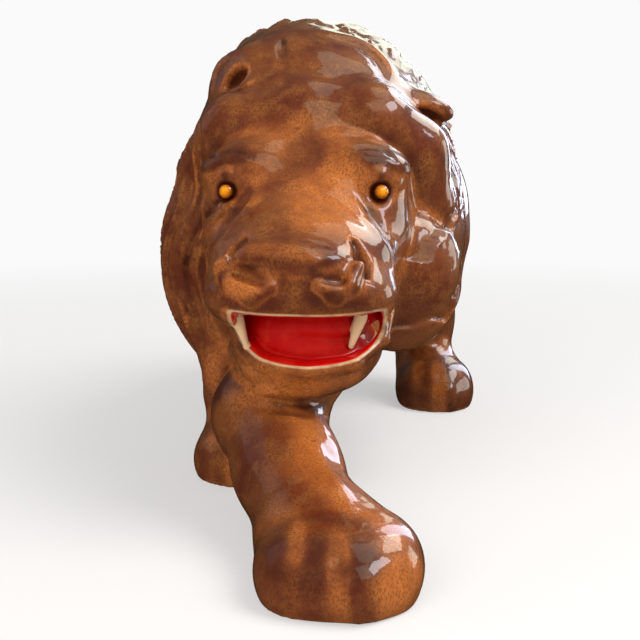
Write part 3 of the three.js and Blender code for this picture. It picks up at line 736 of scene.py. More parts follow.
@dataclass(frozen=True)
class Net:
    """A closed net of squares drawn over a shape's surface, finer in the zone of the face.

    The lattice runs from low to high. Along each axis, fine is the spacing inside the zone and coarse
    outside it.
    """

    low: tuple[float, float, float] = (-105, -251, -4)
    high: tuple[float, float, float] = (107, 264, 288)
    zone: tuple[tuple[float, float], ...] = ((-58, 74), (-260, -62), (76, 214))
    fine: tuple[float, float, float] = (1.5, 1.55, 1.5)
    coarse: tuple[float, float, float] = (2.3, 2.7, 2.3)
    cells: int = 4
    triangles: int = 190000

    def lines(self, axis: int) -> np.ndarray:
        """Places of the lattice lines along one axis, a whole number of blocks of them."""
        places = [self.low[axis]]
        zone = self.zone[axis]
        while places[-1] < self.high[axis] or (len(places) - 1) % self.cells:
            inside = zone[0] <= places[-1] < zone[1]
            places.append(places[-1] + (self.fine if inside else self.coarse)[axis])
        return np.asarray(places, np.float32)

    def sampled(self, shape: Shape, axes: list[np.ndarray]) -> np.ndarray:
        """Distances on the lattice, worked out only in the blocks that the surface may pass through."""
        n = self.cells
        counts = [(len(a) - 1) // n for a in axes]
        middles = [(a[:-1:n] + a[n::n]) / 2 for a in axes]
        sizes = [(a[n::n] - a[:-1:n]) / 2 for a in axes]
        grid = np.stack(np.meshgrid(*middles, indexing="ij")).reshape(3, -1)
        reach = length(np.stack(np.meshgrid(*sizes, indexing="ij")).reshape(3, -1))
        rough = self.evaluated(shape, grid)
        kept = np.flatnonzero(np.abs(rough) < 1.8 * reach + 3)
        rough = rough.reshape(counts)
        values = np.repeat(np.repeat(np.repeat(rough, n, 0), n, 1), n, 2)
        values = np.pad(values, ((0, 1),) * 3, mode="edge")
        inner = np.stack(np.meshgrid(*(np.arange(n + 1),) * 3, indexing="ij")).reshape(3, -1)
        starts = np.stack(np.unravel_index(kept, counts)) * n
        index = (starts[:, :, None] + inner[:, None, :]).reshape(3, -1)
        flat = np.unique(np.ravel_multi_index(tuple(index), values.shape))
        where = np.unravel_index(flat, values.shape)
        points = np.stack([a[i] for a, i in zip(axes, where)])
        values[where] = self.evaluated(shape, points)
        return values

    def evaluated(self, shape: Shape, points: np.ndarray, at_once: int = 200000) -> np.ndarray:
        """Distances at many points, some at a time."""
        parts = [shape(points[:, i : i + at_once]) for i in range(0, points.shape[1], at_once)]
        return np.concatenate(parts).astype(np.float32)

    def untangle(self, values: np.ndarray) -> None:
        """Fills the outside sample nearest the surface where a square has its inside corners crosswise."""
        for _ in range(8):
            fills = 0
            for a, b in ((0, 1), (1, 2), (0, 2)):
                corner = [slice(None)] * 3
                corners = []
                for da, db in ((0, 0), (0, 1), (1, 0), (1, 1)):
                    corner[a] = slice(da, values.shape[a] - 1 + da)
                    corner[b] = slice(db, values.shape[b] - 1 + db)
                    corners.append(tuple(corner))
                inside = [values[c] < 0 for c in corners]
                crossed = (inside[0] == inside[3]) & (inside[1] == inside[2]) & (inside[0] != inside[1])
                for place in np.argwhere(crossed):
                    ends = []
                    for da, db in ((0, 0), (0, 1), (1, 0), (1, 1)):
                        end = place.copy()
                        end[a] += da
                        end[b] += db
                        ends.append(tuple(end))
                    open_ends = [end for end in ends if values[end] >= 0]
                    if open_ends:
                        values[min(open_ends, key=lambda end: values[end])] = -1e-3
                        fills += 1
            if not fills:
                return

    def draw(self, shape: Shape) -> tuple[np.ndarray, np.ndarray]:
        """Draws the net.

        Args:
            shape: what it is drawn over.

        Returns:
            3 x n points, and the four points of each square.
        """
        axes = [self.lines(axis) for axis in range(3)]
        values = self.sampled(shape, axes)
        self.untangle(values)
        cell_counts = tuple(n - 1 for n in values.shape)
        sums = np.zeros((3, *cell_counts), np.float32)
        counts = np.zeros(cell_counts, np.int32)
        crossings = []
        for axis in range(3):
            here = [slice(None)] * 3
            there = [slice(None)] * 3
            here[axis], there[axis] = slice(0, -1), slice(1, None)
            a, b = values[tuple(here)], values[tuple(there)]
            index = np.argwhere((a < 0) != (b < 0))
            va, vb = a[tuple(index.T)], b[tuple(index.T)]
            place = np.stack([axes[k][index[:, k]] for k in range(3)])
            step = axes[axis][index[:, axis] + 1] - axes[axis][index[:, axis]]
            place[axis] += va / (va - vb) * step
            u, v = (axis + 1) % 3, (axis + 2) % 3
            corners = []
            for du, dv in ((-1, -1), (0, -1), (0, 0), (-1, 0)):
                cell = index.copy()
                cell[:, u] += du
                cell[:, v] += dv
                for k in range(3):
                    np.add.at(sums[k], tuple(cell.T), place[k])
                np.add.at(counts, tuple(cell.T), 1)
                corners.append(cell)
            crossings.append((corners, va < 0))
        used = counts > 0
        number = np.full(cell_counts, -1, np.int64)
        number[used] = np.arange(int(used.sum()))
        points = sums[:, used] / counts[used]
        squares = []
        for corners, inside in crossings:
            square = np.stack([number[tuple(cell.T)] for cell in corners], 1)
            square[~inside] = square[~inside][:, ::-1]
            squares.append(square)
        return points, np.concatenate(squares)


def thinned(points: np.ndarray, squares: np.ndarray, wanted: int) -> tuple[np.ndarray, np.ndarray]:
    """Draws a net's edges together where the form is plain.

    Args:
        points: 3 x n points.
        squares: the four points of each square.
        wanted: number of triangles to keep.

    Returns:
        3 x m points, and the three points of each triangle.
    """
    mesh = bpy.data.meshes.new("net")
    mesh.from_pydata(points.T.tolist(), [], squares.tolist())
    holder = bpy.data.objects.new("net", mesh)
    bpy.context.scene.collection.objects.link(holder)
    step = holder.modifiers.new("thin", "DECIMATE")
    step.ratio = min(1.0, wanted / (2 * len(squares)))
    step.use_collapse_triangulate = True
    made = holder.evaluated_get(bpy.context.evaluated_depsgraph_get()).to_mesh()
    kept = np.empty(len(made.vertices) * 3, np.float32)
    made.vertices.foreach_get("co", kept)
    faces = np.empty(len(made.polygons) * 3, np.int32)
    made.polygons.foreach_get("vertices", faces)
    bpy.data.objects.remove(holder)
    bpy.data.meshes.remove(mesh)
    return kept.reshape(-1, 3).T.copy(), faces.reshape(-1, 3)


def slopes(shape: Shape, points: np.ndarray, nudge: float) -> np.ndarray:
    """Gradient of a shape's distance at 3 x n points, from a nudge to each side."""
    found = np.empty_like(points)
    for k in range(3):
        ahead, behind = points.copy(), points.copy()
        ahead[k] += nudge
        behind[k] -= nudge
        found[k] = (shape(ahead) - shape(behind)) / (2 * nudge)
    return found


def settled(shape: Shape, points: np.ndarray) -> np.ndarray:
    """Points moved onto the shape's surface, and onto the floor where they are within a hair of it."""
    furthest, hair = 1.2, 0.3
    p = points.astype(np.float32)
    for _ in range(3):
        g = slopes(shape, p, 0.3)
        square = np.maximum(np.einsum("in,in->n", g, g), 0.3)
        p = p - g * (np.clip(shape(p), -furthest, furthest) / square)
    p[2] = np.where(np.abs(p[2]) < hair, 0, p[2])
    return p


# Finishes


def linear(hex_colour: str) -> tuple[float, float, float, float]:
    """An sRGB hex colour such as "#7a4522" as linear RGBA."""
    values = [int(hex_colour[i : i + 2], 16) / 255 for i in (1, 3, 5)]
    rgb = [v / 12.92 if v <= 0.04045 else ((v + 0.055) / 1.055) ** 2.4 for v in values]
    return (*rgb, 1.0)


def node(
    tree: bpy.types.NodeTree, kind: str, settings: dict | None = None, links: dict | None = None
) -> bpy.types.Node:
    """Adds one node.

    Args:
        tree: the material's or world's node tree.
        kind: the node's type name after "ShaderNode".
        settings: values by property name, or by the name or number of an input socket.
        links: output sockets by the name or number of the input socket that they feed.

    Returns:
        The node.
    """
    made = tree.nodes.new("ShaderNode" + kind)
    for key, value in (settings or {}).items():
        if isinstance(key, str) and key in made.bl_rna.properties:
            setattr(made, key, value)
        else:
            made.inputs[key].default_value = value
    for key, source in (links or {}).items():
        tree.links.new(source, made.inputs[key])
    return made


class Paint(Enum):
    """Distances, brushed zones and painted shade and light that the net carries for the glaze, one number a
    point.
    """

    MOUTH = "mouth_mm"
    FANG = "fang_mm"
    SOCKET = "socket_mm"
    # orange slip, and painted light in some of its zones
    WARM_AND_LIT = "warm_and_lit"
    # maroon slip laid twice, and painted shade in some of its zones
    DARK_AND_SHADED = "dark_and_shaded"
    # glaze pooled in creases, and painted shade in them
    POOLED_AND_SHADED = "hollow"
    # glaze breaking thin on ridges, and a painted highlight along them
    THIN = "thin"


class Drift(Enum):
    """Uneven patterns of the sprayed slips and of the melted glaze."""

    BROAD = "broad"
    CLOUD = "cloud"
    FLECK = "fleck"
    RIPPLE = "ripple"
    WAVE = "wave"
    GRAIN = "grain"


@dataclass(frozen=True)
class Scatter:
    """How one pattern is scattered: its size in millimetres, detail and roughness, place and stretch."""

    size_mm: float
    detail: float
    rough: float
    offset: tuple[float, float, float] = (0, 0, 0)
    squash: tuple[float, float, float] = (1, 1, 1)


@dataclass(frozen=True)
class Mask:
    """Where a slip lies: start where its source is at low, end where it is at high, and eased between."""

    source: Paint | Drift
    low: float = 0
    high: float = 1
    start: float = 0
    end: float = 1


@dataclass(frozen=True)
class Slip:
    """One colour of slip or glaze, which lies over what is below it where all its masks let it."""

    colour: str
    masks: tuple[Mask, ...]

    def laid_over(
        self, tree: bpy.types.NodeTree, below: bpy.types.NodeSocket | str, sources: dict
    ) -> bpy.types.NodeSocket:
        """Adds the slip to a material.

        Args:
            tree: the material's node tree.
            below: colour of what is below it, a hex one where that is plain.
            sources: output sockets by paint or drift.

        Returns:
            The colour of all of it.
        """
        cover = None
        for mask in self.masks:
            limits = {1: mask.low, 2: mask.high, 3: mask.start, 4: mask.end}
            eased = {"interpolation_type": "SMOOTHSTEP", **limits}
            part = node(tree, "MapRange", eased, {0: sources[mask.source]}).outputs[0]
            both = {0: part} if cover is None else {0: part, 1: cover}
            product = {"operation": "MULTIPLY", "use_clamp": True, 1: 1.0}
            cover = node(tree, "Math", product, both).outputs[0]
        tint = {"data_type": "RGBA", 7: linear(self.colour)}
        if isinstance(below, str):
            return node(tree, "Mix", {**tint, 6: linear(below)}, {0: cover}).outputs[2]
        return node(tree, "Mix", tint, {0: cover, 6: below}).outputs[2]


@dataclass(frozen=True)
class BrushedGlaze:
    """Clear glossy lead-style glaze over brown slips that were sprayed and brushed on cast earthenware.

    The clear coat gives the sharp window lights. The slips below it give the mottling: drifts of red brown
    and honey brown a few centimetres wide, dark flecks about a millimetre long where the pigment sat in the
    clay's pores, orange where the slip was thin, and maroon where it was laid twice. Some of the orange is
    painted light, bounced light on the chest and a toe and highlights along edges, and some of the maroon is
    painted shade, under the chin and on the side away from the key light. Ridges are lighter, where the glaze
    breaks thin and a highlight is painted along them. Creases are darker, where glaze ran into them and shade
    is painted in them, and shade is painted as a maroon ring in each eye's socket. The flecks and the glaze's
    fine grain are drawn a little coarser than real, so that they show.
    """

    brown: str = "#7d4420"
    red_brown: str = "#5f2816"
    honey: str = "#965a28"
    orange: str = "#cf7836"
    maroon: str = "#42170e"
    fleck: str = "#31130b"
    red: str = "#b80000"
    red_light: str = "#c61c10"
    cream: str = "#d8b68c"
    broad: Scatter = Scatter(26, 3, 0.55)
    cloud: Scatter = Scatter(12, 4, 0.6, (0.3, 0.1, 0.2))
    flecks: Scatter = Scatter(0.9, 2, 0.6, (0.1, 0.5, 0.3), (1, 1, 0.6))
    ripple: Scatter = Scatter(11, 1, 0.4, (0.7, 0.2, 0.4))
    wave: Scatter = Scatter(3.4, 2, 0.5, (0.4, 0.6, 0.1), (1, 1, 0.6))
    grain: Scatter = Scatter(1.45, 1, 0.5, (0.2, 0.8, 0.1))
    relief_mm: float = 0.9
    ior: float = 1.5
    roughness: float = 0.4
    gloss: float = 0.055

    def slips(self) -> list[Slip]:
        """The colours from the bottom up, over the brown."""
        in_mouth = Mask(Paint.MOUTH, 1.0, 0.6)
        return [
            Slip(self.red_brown, (Mask(Drift.BROAD, 0.35, 0.68),)),
            Slip(self.honey, (Mask(Drift.CLOUD, 0.42, 0.72, 0, 0.7),)),
            # orange slip, with painted bounced light and highlights in some zones
            Slip(self.orange, (Mask(Paint.WARM_AND_LIT), Mask(Drift.CLOUD, 0.25, 0.6, 0.45, 1))),
            # maroon slip laid twice, with painted shade in some zones
            Slip(self.maroon, (Mask(Paint.DARK_AND_SHADED), Mask(Drift.BROAD, 0.3, 0.6, 0.55, 1))),
            # darker in creases: glaze pooled there, and painted shade
            Slip(self.maroon, (Mask(Paint.POOLED_AND_SHADED, 0, 1, 0, 0.85),)),
            # lighter orange on ridges: glaze breaking thin, and a painted highlight
            Slip(self.orange, (Mask(Paint.THIN), Mask(Drift.CLOUD, 0.25, 0.6, 0.1, 0.45))),
            Slip(self.fleck, (Mask(Drift.FLECK, 0.4, 0.66), Mask(Drift.CLOUD, 0.3, 0.7, 0.25, 0.6))),
            # painted shade: a maroon ring round each glass eye, in its socket's recess
            Slip(self.maroon, (Mask(Paint.SOCKET, 3.2, 0.8),)),
            Slip(self.cream, (Mask(Paint.MOUTH, 2.4, 1.4), Mask(Drift.CLOUD, 0.3, 0.6, 0.3, 0.85))),
            Slip(self.red, (in_mouth,)),
            Slip(self.red_light, (in_mouth, Mask(Drift.CLOUD, 0.4, 0.7, 0, 0.8))),
            Slip(self.cream, (Mask(Paint.FANG, 0.9, 0.5),)),
        ]

    def sources(self, tree: bpy.types.NodeTree) -> dict:
        """Adds what the masks read: each pattern's noise and each number that the net carries."""
        place = node(tree, "TexCoord").outputs["Object"]
        patterns = {
            Drift.BROAD: self.broad,
            Drift.CLOUD: self.cloud,
            Drift.FLECK: self.flecks,
            Drift.RIPPLE: self.ripple,
            Drift.WAVE: self.wave,
            Drift.GRAIN: self.grain,
        }
        found = {}
        for drift, look in patterns.items():
            moved = node(tree, "Mapping", {"Location": look.offset, "Scale": look.squash}, {"Vector": place})
            settings = {"Scale": 1 / (look.size_mm * MM), "Detail": look.detail, "Roughness": look.rough}
            found[drift] = node(tree, "TexNoise", settings, {"Vector": moved.outputs[0]}).outputs["Fac"]
        for paint in Paint:
            found[paint] = node(tree, "Attribute", {"attribute_name": paint.value}).outputs["Fac"]
        return found

    def relief(self, tree: bpy.types.NodeTree, sources: dict) -> bpy.types.NodeSocket:
        """Adds the unevenness of the melted glaze: broad ripples, small waves and fine grain."""
        height = sources[Drift.RIPPLE]
        for drift, share in ((Drift.WAVE, 0.14), (Drift.GRAIN, 0.03)):
            part = {"operation": "MULTIPLY_ADD", 1: share}
            height = node(tree, "Math", part, {0: sources[drift], 2: height}).outputs[0]
        strength = {"Strength": 0.5, "Distance": self.relief_mm * MM}
        return node(tree, "Bump", strength, {"Height": height}).outputs[0]

    def material(self) -> bpy.types.Material:
        """The glaze's node material."""
        made = bpy.data.materials.new("glazed_earthenware")
        made.use_nodes = True
        tree = made.node_tree
        tree.nodes.clear()
        sources = self.sources(tree)
        colour = self.brown
        for slip in self.slips():
            colour = slip.laid_over(tree, colour, sources)
        bump = self.relief(tree, sources)
        finish = {
            "Roughness": self.roughness,
            "IOR": self.ior,
            "Specular IOR Level": 0.15,
            "Coat Weight": 1.0,
            "Coat Roughness": self.gloss,
            "Coat IOR": self.ior,
        }
        dressed = {"Base Color": colour, "Normal": bump, "Coat Normal": bump}
        shader = node(tree, "BsdfPrincipled", finish, dressed)
        node(tree, "OutputMaterial", links={"Surface": shader.outputs[0]})
        return made


@dataclass(frozen=True)
class AmberGlass:
    """Pressed amber glass over a foil back: amber painted brighter orange in the middle as the foil's glow,
    with painted glints, a brown rim and a hard gloss.
    """

    middle: str = "#f0a020"
    body: str = "#cf7408"
    rim: str = "#4a2206"
    glint_mm: float = 1.1
    ior: float = 1.52
    roughness: float = 0.08

    def material(self, centre: Place, forward: Place, radius: float) -> bpy.types.Material:
        """Glass for one eye.

        Args:
            centre: middle of the eye in metres.
            forward: the way it looks, of length 1.
            radius: its radius in metres.

        Returns:
            The material.
        """
        made = bpy.data.materials.new("amber_glass")
        made.use_nodes = True
        tree = made.node_tree
        tree.nodes.clear()
        place = node(tree, "TexCoord").outputs["Object"]
        off = {"operation": "SUBTRACT", 1: tuple(centre)}
        out = node(tree, "VectorMath", off, {0: place}).outputs[0]
        along = {"operation": "DOT_PRODUCT", 1: tuple(forward)}
        ahead = node(tree, "VectorMath", along, {0: out}).outputs["Value"]
        depth = node(tree, "Math", {"operation": "DIVIDE", 1: radius}, {0: ahead}).outputs[0]
        # painted glints of the foil, which stir the bands of colour
        glints = node(tree, "TexNoise", {"Scale": 1 / (self.glint_mm * MM), "Detail": 1.0}, {"Vector": place})
        stir = {"operation": "MULTIPLY_ADD", 1: 0.25}
        stirred = node(tree, "Math", stir, {0: glints.outputs["Fac"], 2: depth}).outputs[0]
        colour = None
        # painted glow: the amber turns brighter orange towards the front, as the foil shines through
        for start, end, tint in ((0.55, 0.9, self.body), (0.9, 1.1, self.middle)):
            inside = node(tree, "MapRange", {1: start, 2: end}, {0: stirred}).outputs[0]
            below = {0: inside} if colour is None else {0: inside, 6: colour}
            tints = {"data_type": "RGBA", 6: linear(self.rim), 7: linear(tint)}
            colour = node(tree, "Mix", tints, below).outputs[2]
        shader = node(
            tree,
            "BsdfPrincipled",
            {"Roughness": self.roughness, "IOR": self.ior, "Coat Weight": 1.0, "Coat Roughness": 0.02},
            {"Base Color": colour},
        )
        node(tree, "OutputMaterial", links={"Surface": shader.outputs[0]})
        return made


@dataclass(frozen=True)
class PaleFloor:
    """Matt white paper of a studio sweep, which fades to the plain backdrop from near to far, in metres.

    The gloss shows it dim and brown, as the table shows in the real glaze.
    """

    white: str = "#e9e9e9"
    horizon: str = "#fafafa"
    table: str = "#40301f"
    near: float = 0.3
    far: float = 1.2
    lift: float = 0.45

    def material(self) -> bpy.types.Material:
        """The paper's material."""
        made = bpy.data.materials.new("white_paper")
        made.use_nodes = True
        tree = made.node_tree
        tree.nodes.clear()
        place = node(tree, "TexCoord").outputs["Object"]
        away = node(tree, "VectorMath", {"operation": "LENGTH"}, {0: place}).outputs["Value"]
        span = {1: self.near, 2: self.far, 3: self.lift}
        far = node(tree, "MapRange", span, {0: away}).outputs[0]
        paper = node(tree, "BsdfDiffuse", {"Color": linear(self.white)}).outputs[0]
        glow = node(tree, "Emission", {"Color": linear(self.horizon)}).outputs[0]
        seen = node(tree, "MixShader", links={0: far, 1: paper, 2: glow}).outputs[0]
        dim = node(tree, "BsdfDiffuse", {"Color": linear(self.table)}).outputs[0]
        in_gloss = node(tree, "LightPath").outputs["Is Glossy Ray"]
        both = node(tree, "MixShader", links={0: in_gloss, 1: seen, 2: dim}).outputs[0]
        node(tree, "OutputMaterial", links={"Surface": both})
        return made


# Pieces and studio


@dataclass(frozen=True)
class BrushingAndPaintedLight:
    """Where the slips were brushed warmer or darker, and where shade and light are painted: soft rounded
    zones on the figure.
    """

    head: HeadFrame

    def zone(self, shape: Shape, fade: float) -> Shape:
        """1 inside a shape, falling to 0 over fade millimetres outside it."""
        return lambda p: 1 - smooth(0, fade, shape(p))

    def warm_and_lit(self, p: np.ndarray) -> np.ndarray:
        """Thin orange slip on the front of the stretched leg, the chin, the chest, the bridge, the forehead
        and under the
        nostrils, and painted light: bounced light on the chest and the outer front toe, and highlights along
        the nose roll and the stretched leg's top.
        """
        in_head = self.head.carry
        zones = [
            self.zone(limb(10, [22, -140, 56, 12], [38, -180, 42, 10], [62, -215, 28, 9]), 16),
            self.zone(in_head(mass([0, 40, 76], [30, 20, 9])), 14),
            # the chest: orange slip, and painted orange bounced light
            self.zone(mass([0, -100, 72], [46, 26, 16]), 16),
            self.zone(in_head(paired(mass([25, 56, 128], [7, 8, 4]))), 6),
            self.zone(in_head(mass([14, 20, 165], [12, 16, 18])), 22),
            self.zone(in_head(mass([-2, -12, 190], [20, 14, 14])), 18),
            # painted light: the outer front toe lit by bounce off the floor and by the key light
            self.zone(mass([76, -232, 12], [10, 14, 12]), 10),
            # painted highlight along the top edge of the nose pad
            self.zone(in_head(limb(4, [-30, 46, 140, 1], [-12, 56, 145, 1], [10, 58, 141, 1])), 6),
            # painted highlight on the stretched leg's top, below the chin
            self.zone(limb(4, [16, -148, 70, 8], [28, -154, 52, 7]), 8),
        ]
        strengths = (0.6, 0.55, 0.5, 0.7, 0.7, 0.35, 0.6, 0.35, 0.7)
        return np.maximum.reduce([k * zone(p) for k, zone in zip(strengths, zones)])

    def dark_and_shaded(self, p: np.ndarray) -> np.ndarray:
        """Maroon slip laid twice on the brows, round the eyes, on the nose pad, down the stretched leg and on
        its toes,
        and painted shade: on the stretched leg's top under the chin, beside the left nostril and upper lip,
        and on the mane's right side, away from the key light. The hind left paw is darker low down.
        """
        in_head = self.head.carry
        zones = [
            self.zone(in_head(limb(4, [-30, -8, 186, 4], [-8, -6, 186, 5], [4, -10, 190, 5])), 14),
            self.zone(in_head(paired(mass([42, -6, 178], [13, 10, 10]))), 12),
            self.zone(in_head(mass([0, 56, 138], [22, 8, 5])), 8),
            # painted shade on the stretched leg's top under the chin, in two zones, with the chin's dark
            # reflection
            self.zone(mass([8, -132, 72], [26, 12, 8]), 9),
            self.zone(mass([-24, -118, 66], [10, 16, 10]), 9),
            self.zone(limb(10, [2, -166, 50, 9], [16, -190, 40, 10], [34, -216, 32, 12]), 16),
            # painted shade on the left of the upper lip
            self.zone(mass([38, -168, 127], [14, 10, 9]), 9),
            # darker low on the hind left paw
            self.zone(mass([52, 140, 14], [40, 50, 16]), 20),
            # painted shade down the mane's right side, away from the key light
            self.zone(limb(6, [-66, -60, 120, 8], [-72, -30, 170, 8], [-60, -10, 215, 8]), 20),
            # painted shade beside the left nostril and its wing
            self.zone(in_head(mass([17, 58, 131], [8, 8, 8])), 6),
            self.zone(in_head(mass([24, 58, 124], [12, 8, 5])), 6),
            self.zone(mass([40, -234, 32], [24, 18, 16]), 14),
        ]
        strengths = (0.55, 0.65, 0.15, 0.8, 0.75, 0.3, 0.6, 0.6, 0.35, 0.8, 0.5, 0.65)
        return np.maximum.reduce([k * zone(p) for k, zone in zip(strengths, zones)])


@dataclass
class LionBody:
    """The glazed body: draws the fine net over the figure, and paints it."""

    figure: Figure
    net: Net
    glaze: BrushedGlaze
    shift: tuple[float, float, float]

    def paint(self, mesh: bpy.types.Mesh, points: np.ndarray, normals: np.ndarray) -> None:
        """Writes what the glaze reads onto the mesh.

        Args:
            mesh: the body's mesh.
            points: 3 x n points in the figure's frame.
            normals: 3 x n unit normals.
        """
        head, face = self.figure.head, self.figure.face
        eyes = face.eyes
        q = head.inside(points)
        brushing_and_light = BrushingAndPaintedLight(head)
        form = self.figure.form()
        near, wide = 2.5, 9.0
        # painted shade: darker where the surface lies in a groove or fold, as well as glaze pooled there
        groove = smooth(0.95, 0.5, form(points + normals * near) / near)
        fold = smooth(0.95, 0.35, form(points + normals * wide) / wide)
        # painted highlight on ridges, where the glaze also breaks thin
        edge = smooth(0.96, 0.72, -form(points - normals * near) / near)
        values = {
            Paint.MOUTH: face.mouth.outline(q),
            Paint.FANG: face.mouth.fangs()(q),
            Paint.SOCKET: length(np.stack([np.abs(q[0]), q[1], q[2]]) - column(eyes.place(1))) - eyes.radius,
            Paint.WARM_AND_LIT: brushing_and_light.warm_and_lit(points),
            Paint.DARK_AND_SHADED: brushing_and_light.dark_and_shaded(points),
            Paint.POOLED_AND_SHADED: np.maximum(groove, 0.6 * fold),
            Paint.THIN: edge,
        }
        for paint, numbers in values.items():
            layer = mesh.attributes.new(paint.value, "FLOAT", "POINT")
            layer.data.foreach_set("value", np.ascontiguousarray(numbers, np.float32))

    def build(self) -> bpy.types.Object:
        """Builds and dresses the body."""
        shape = self.figure.form()
        points, faces = thinned(*self.net.draw(shape), self.net.triangles)
        points = settled(shape, points)
        normals = slopes(shape, points, 0.5)
        normals /= np.maximum(length(normals), 1e-6)
        mesh = bpy.data.meshes.new("lion_glazed")
        mesh.from_pydata(((points + column(self.shift)) * MM).T.tolist(), [], faces.tolist())
        mesh.polygons.foreach_set("use_smooth", [True] * len(mesh.polygons))
        self.paint(mesh, points, normals)
        mesh.normals_split_custom_set_from_vertices(normals.T.tolist())
        mesh.materials.append(self.glaze.material())
        mesh.update()
        piece = bpy.data.objects.new("lion_glazed", mesh)
        bpy.context.scene.collection.objects.link(piece)
        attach(piece, ROOT)
        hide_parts("lion_body")
        return piece


@dataclass
class GlassEye:
    """One eye, as it is moulded: a ball of amber glass with a raised cornea in front and a flattened back."""

    node_name: str
    look: tuple[float, float, float]
    glass: AmberGlass
    segments: int = 48
    rings: int = 28
    cornea_angle: float = 0.75
    cornea_rise: float = 0.04
    flat_back: float = 0.86

    def profile(self, radius: float) -> list[tuple[float, float]]:
        """Distance from the axis and place along it, from the front pole to the back one."""
        points = []
        for ring in range(self.rings + 1):
            angle = math.pi * ring / self.rings
            rise = self.cornea_rise * math.cos(min(angle / self.cornea_angle, 1) * math.pi / 2) ** 2
            out = radius * (1 - self.cornea_rise + rise)
            points.append((out * math.sin(angle), max(out * math.cos(angle), -self.flat_back * radius)))
        return points

    def build(self) -> bpy.types.Object:
        """Builds and dresses the eye around the middle of its solid."""
        low, high = (np.asarray(corner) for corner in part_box(self.node_name))
        centre, radius = (low + high) / 2, float((high - low)[2]) / 2
        name = self.node_name + "_glass"
        mesh = bpy.data.meshes.new(name)
        turn = Vector(self.look).to_track_quat("Z", "Y").to_matrix()
        shell = bmesh.new()
        loops = []
        for out, along in self.profile(radius)[1:-1]:
            spots = [2 * math.pi * i / self.segments for i in range(self.segments)]
            places = [turn @ Vector((out * math.cos(a), out * math.sin(a), along)) for a in spots]
            loops.append([shell.verts.new(place + Vector(centre)) for place in places])
        for upper, lower in zip(loops[:-1], loops[1:]):
            for i in range(self.segments):
                j = (i + 1) % self.segments
                shell.faces.new((upper[i], lower[i], lower[j], upper[j]))
        for loop, end in ((loops[0], self.profile(radius)[0]), (loops[-1], self.profile(radius)[-1])):
            pole = shell.verts.new(turn @ Vector((0, 0, end[1])) + Vector(centre))
            for i in range(self.segments):
                shell.faces.new((pole, loop[i], loop[(i + 1) % self.segments]))
        bmesh.ops.recalc_face_normals(shell, faces=shell.faces)
        for face in shell.faces:
            face.smooth = True
        shell.to_mesh(mesh)
        shell.free()
        mesh.materials.append(self.glass.material(centre, self.look, radius))
        piece = bpy.data.objects.new(name, mesh)
        bpy.context.scene.collection.objects.link(piece)
        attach(piece, ROOT)
        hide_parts(self.node_name)
        return piece


class Use(Enum):
    """What a studio panel is for: to light the clay softly, or to be mirrored in the gloss."""

    LIGHT = "light"
    MIRRORED = "mirrored"


@dataclass(frozen=True)
class Window:
    """A soft studio panel: its use, its place and size in metres, its power in watts and its colour."""

    use: Use
    at: tuple[float, float, float]
    size: tuple[float, float]
    power: float
    colour: str = "#ffffff"

    def hang(self, aim: Vector) -> bpy.types.Object:
        """Hangs the light and turns it to the aim."""
        light = bpy.data.lights.new("window", "AREA")
        light.shape = "RECTANGLE"
        light.size, light.size_y = self.size
        light.energy = self.power
        light.color = linear(self.colour)[:3]
        made = bpy.data.objects.new("window", light)
        made.location = self.at
        made.rotation_euler = (aim - made.location).to_track_quat("-Z", "Y").to_euler()
        made.visible_diffuse = self.use is Use.LIGHT
        made.visible_glossy = self.use is Use.MIRRORED
        made.visible_camera = False
        bpy.context.scene.collection.objects.link(made)
        return made


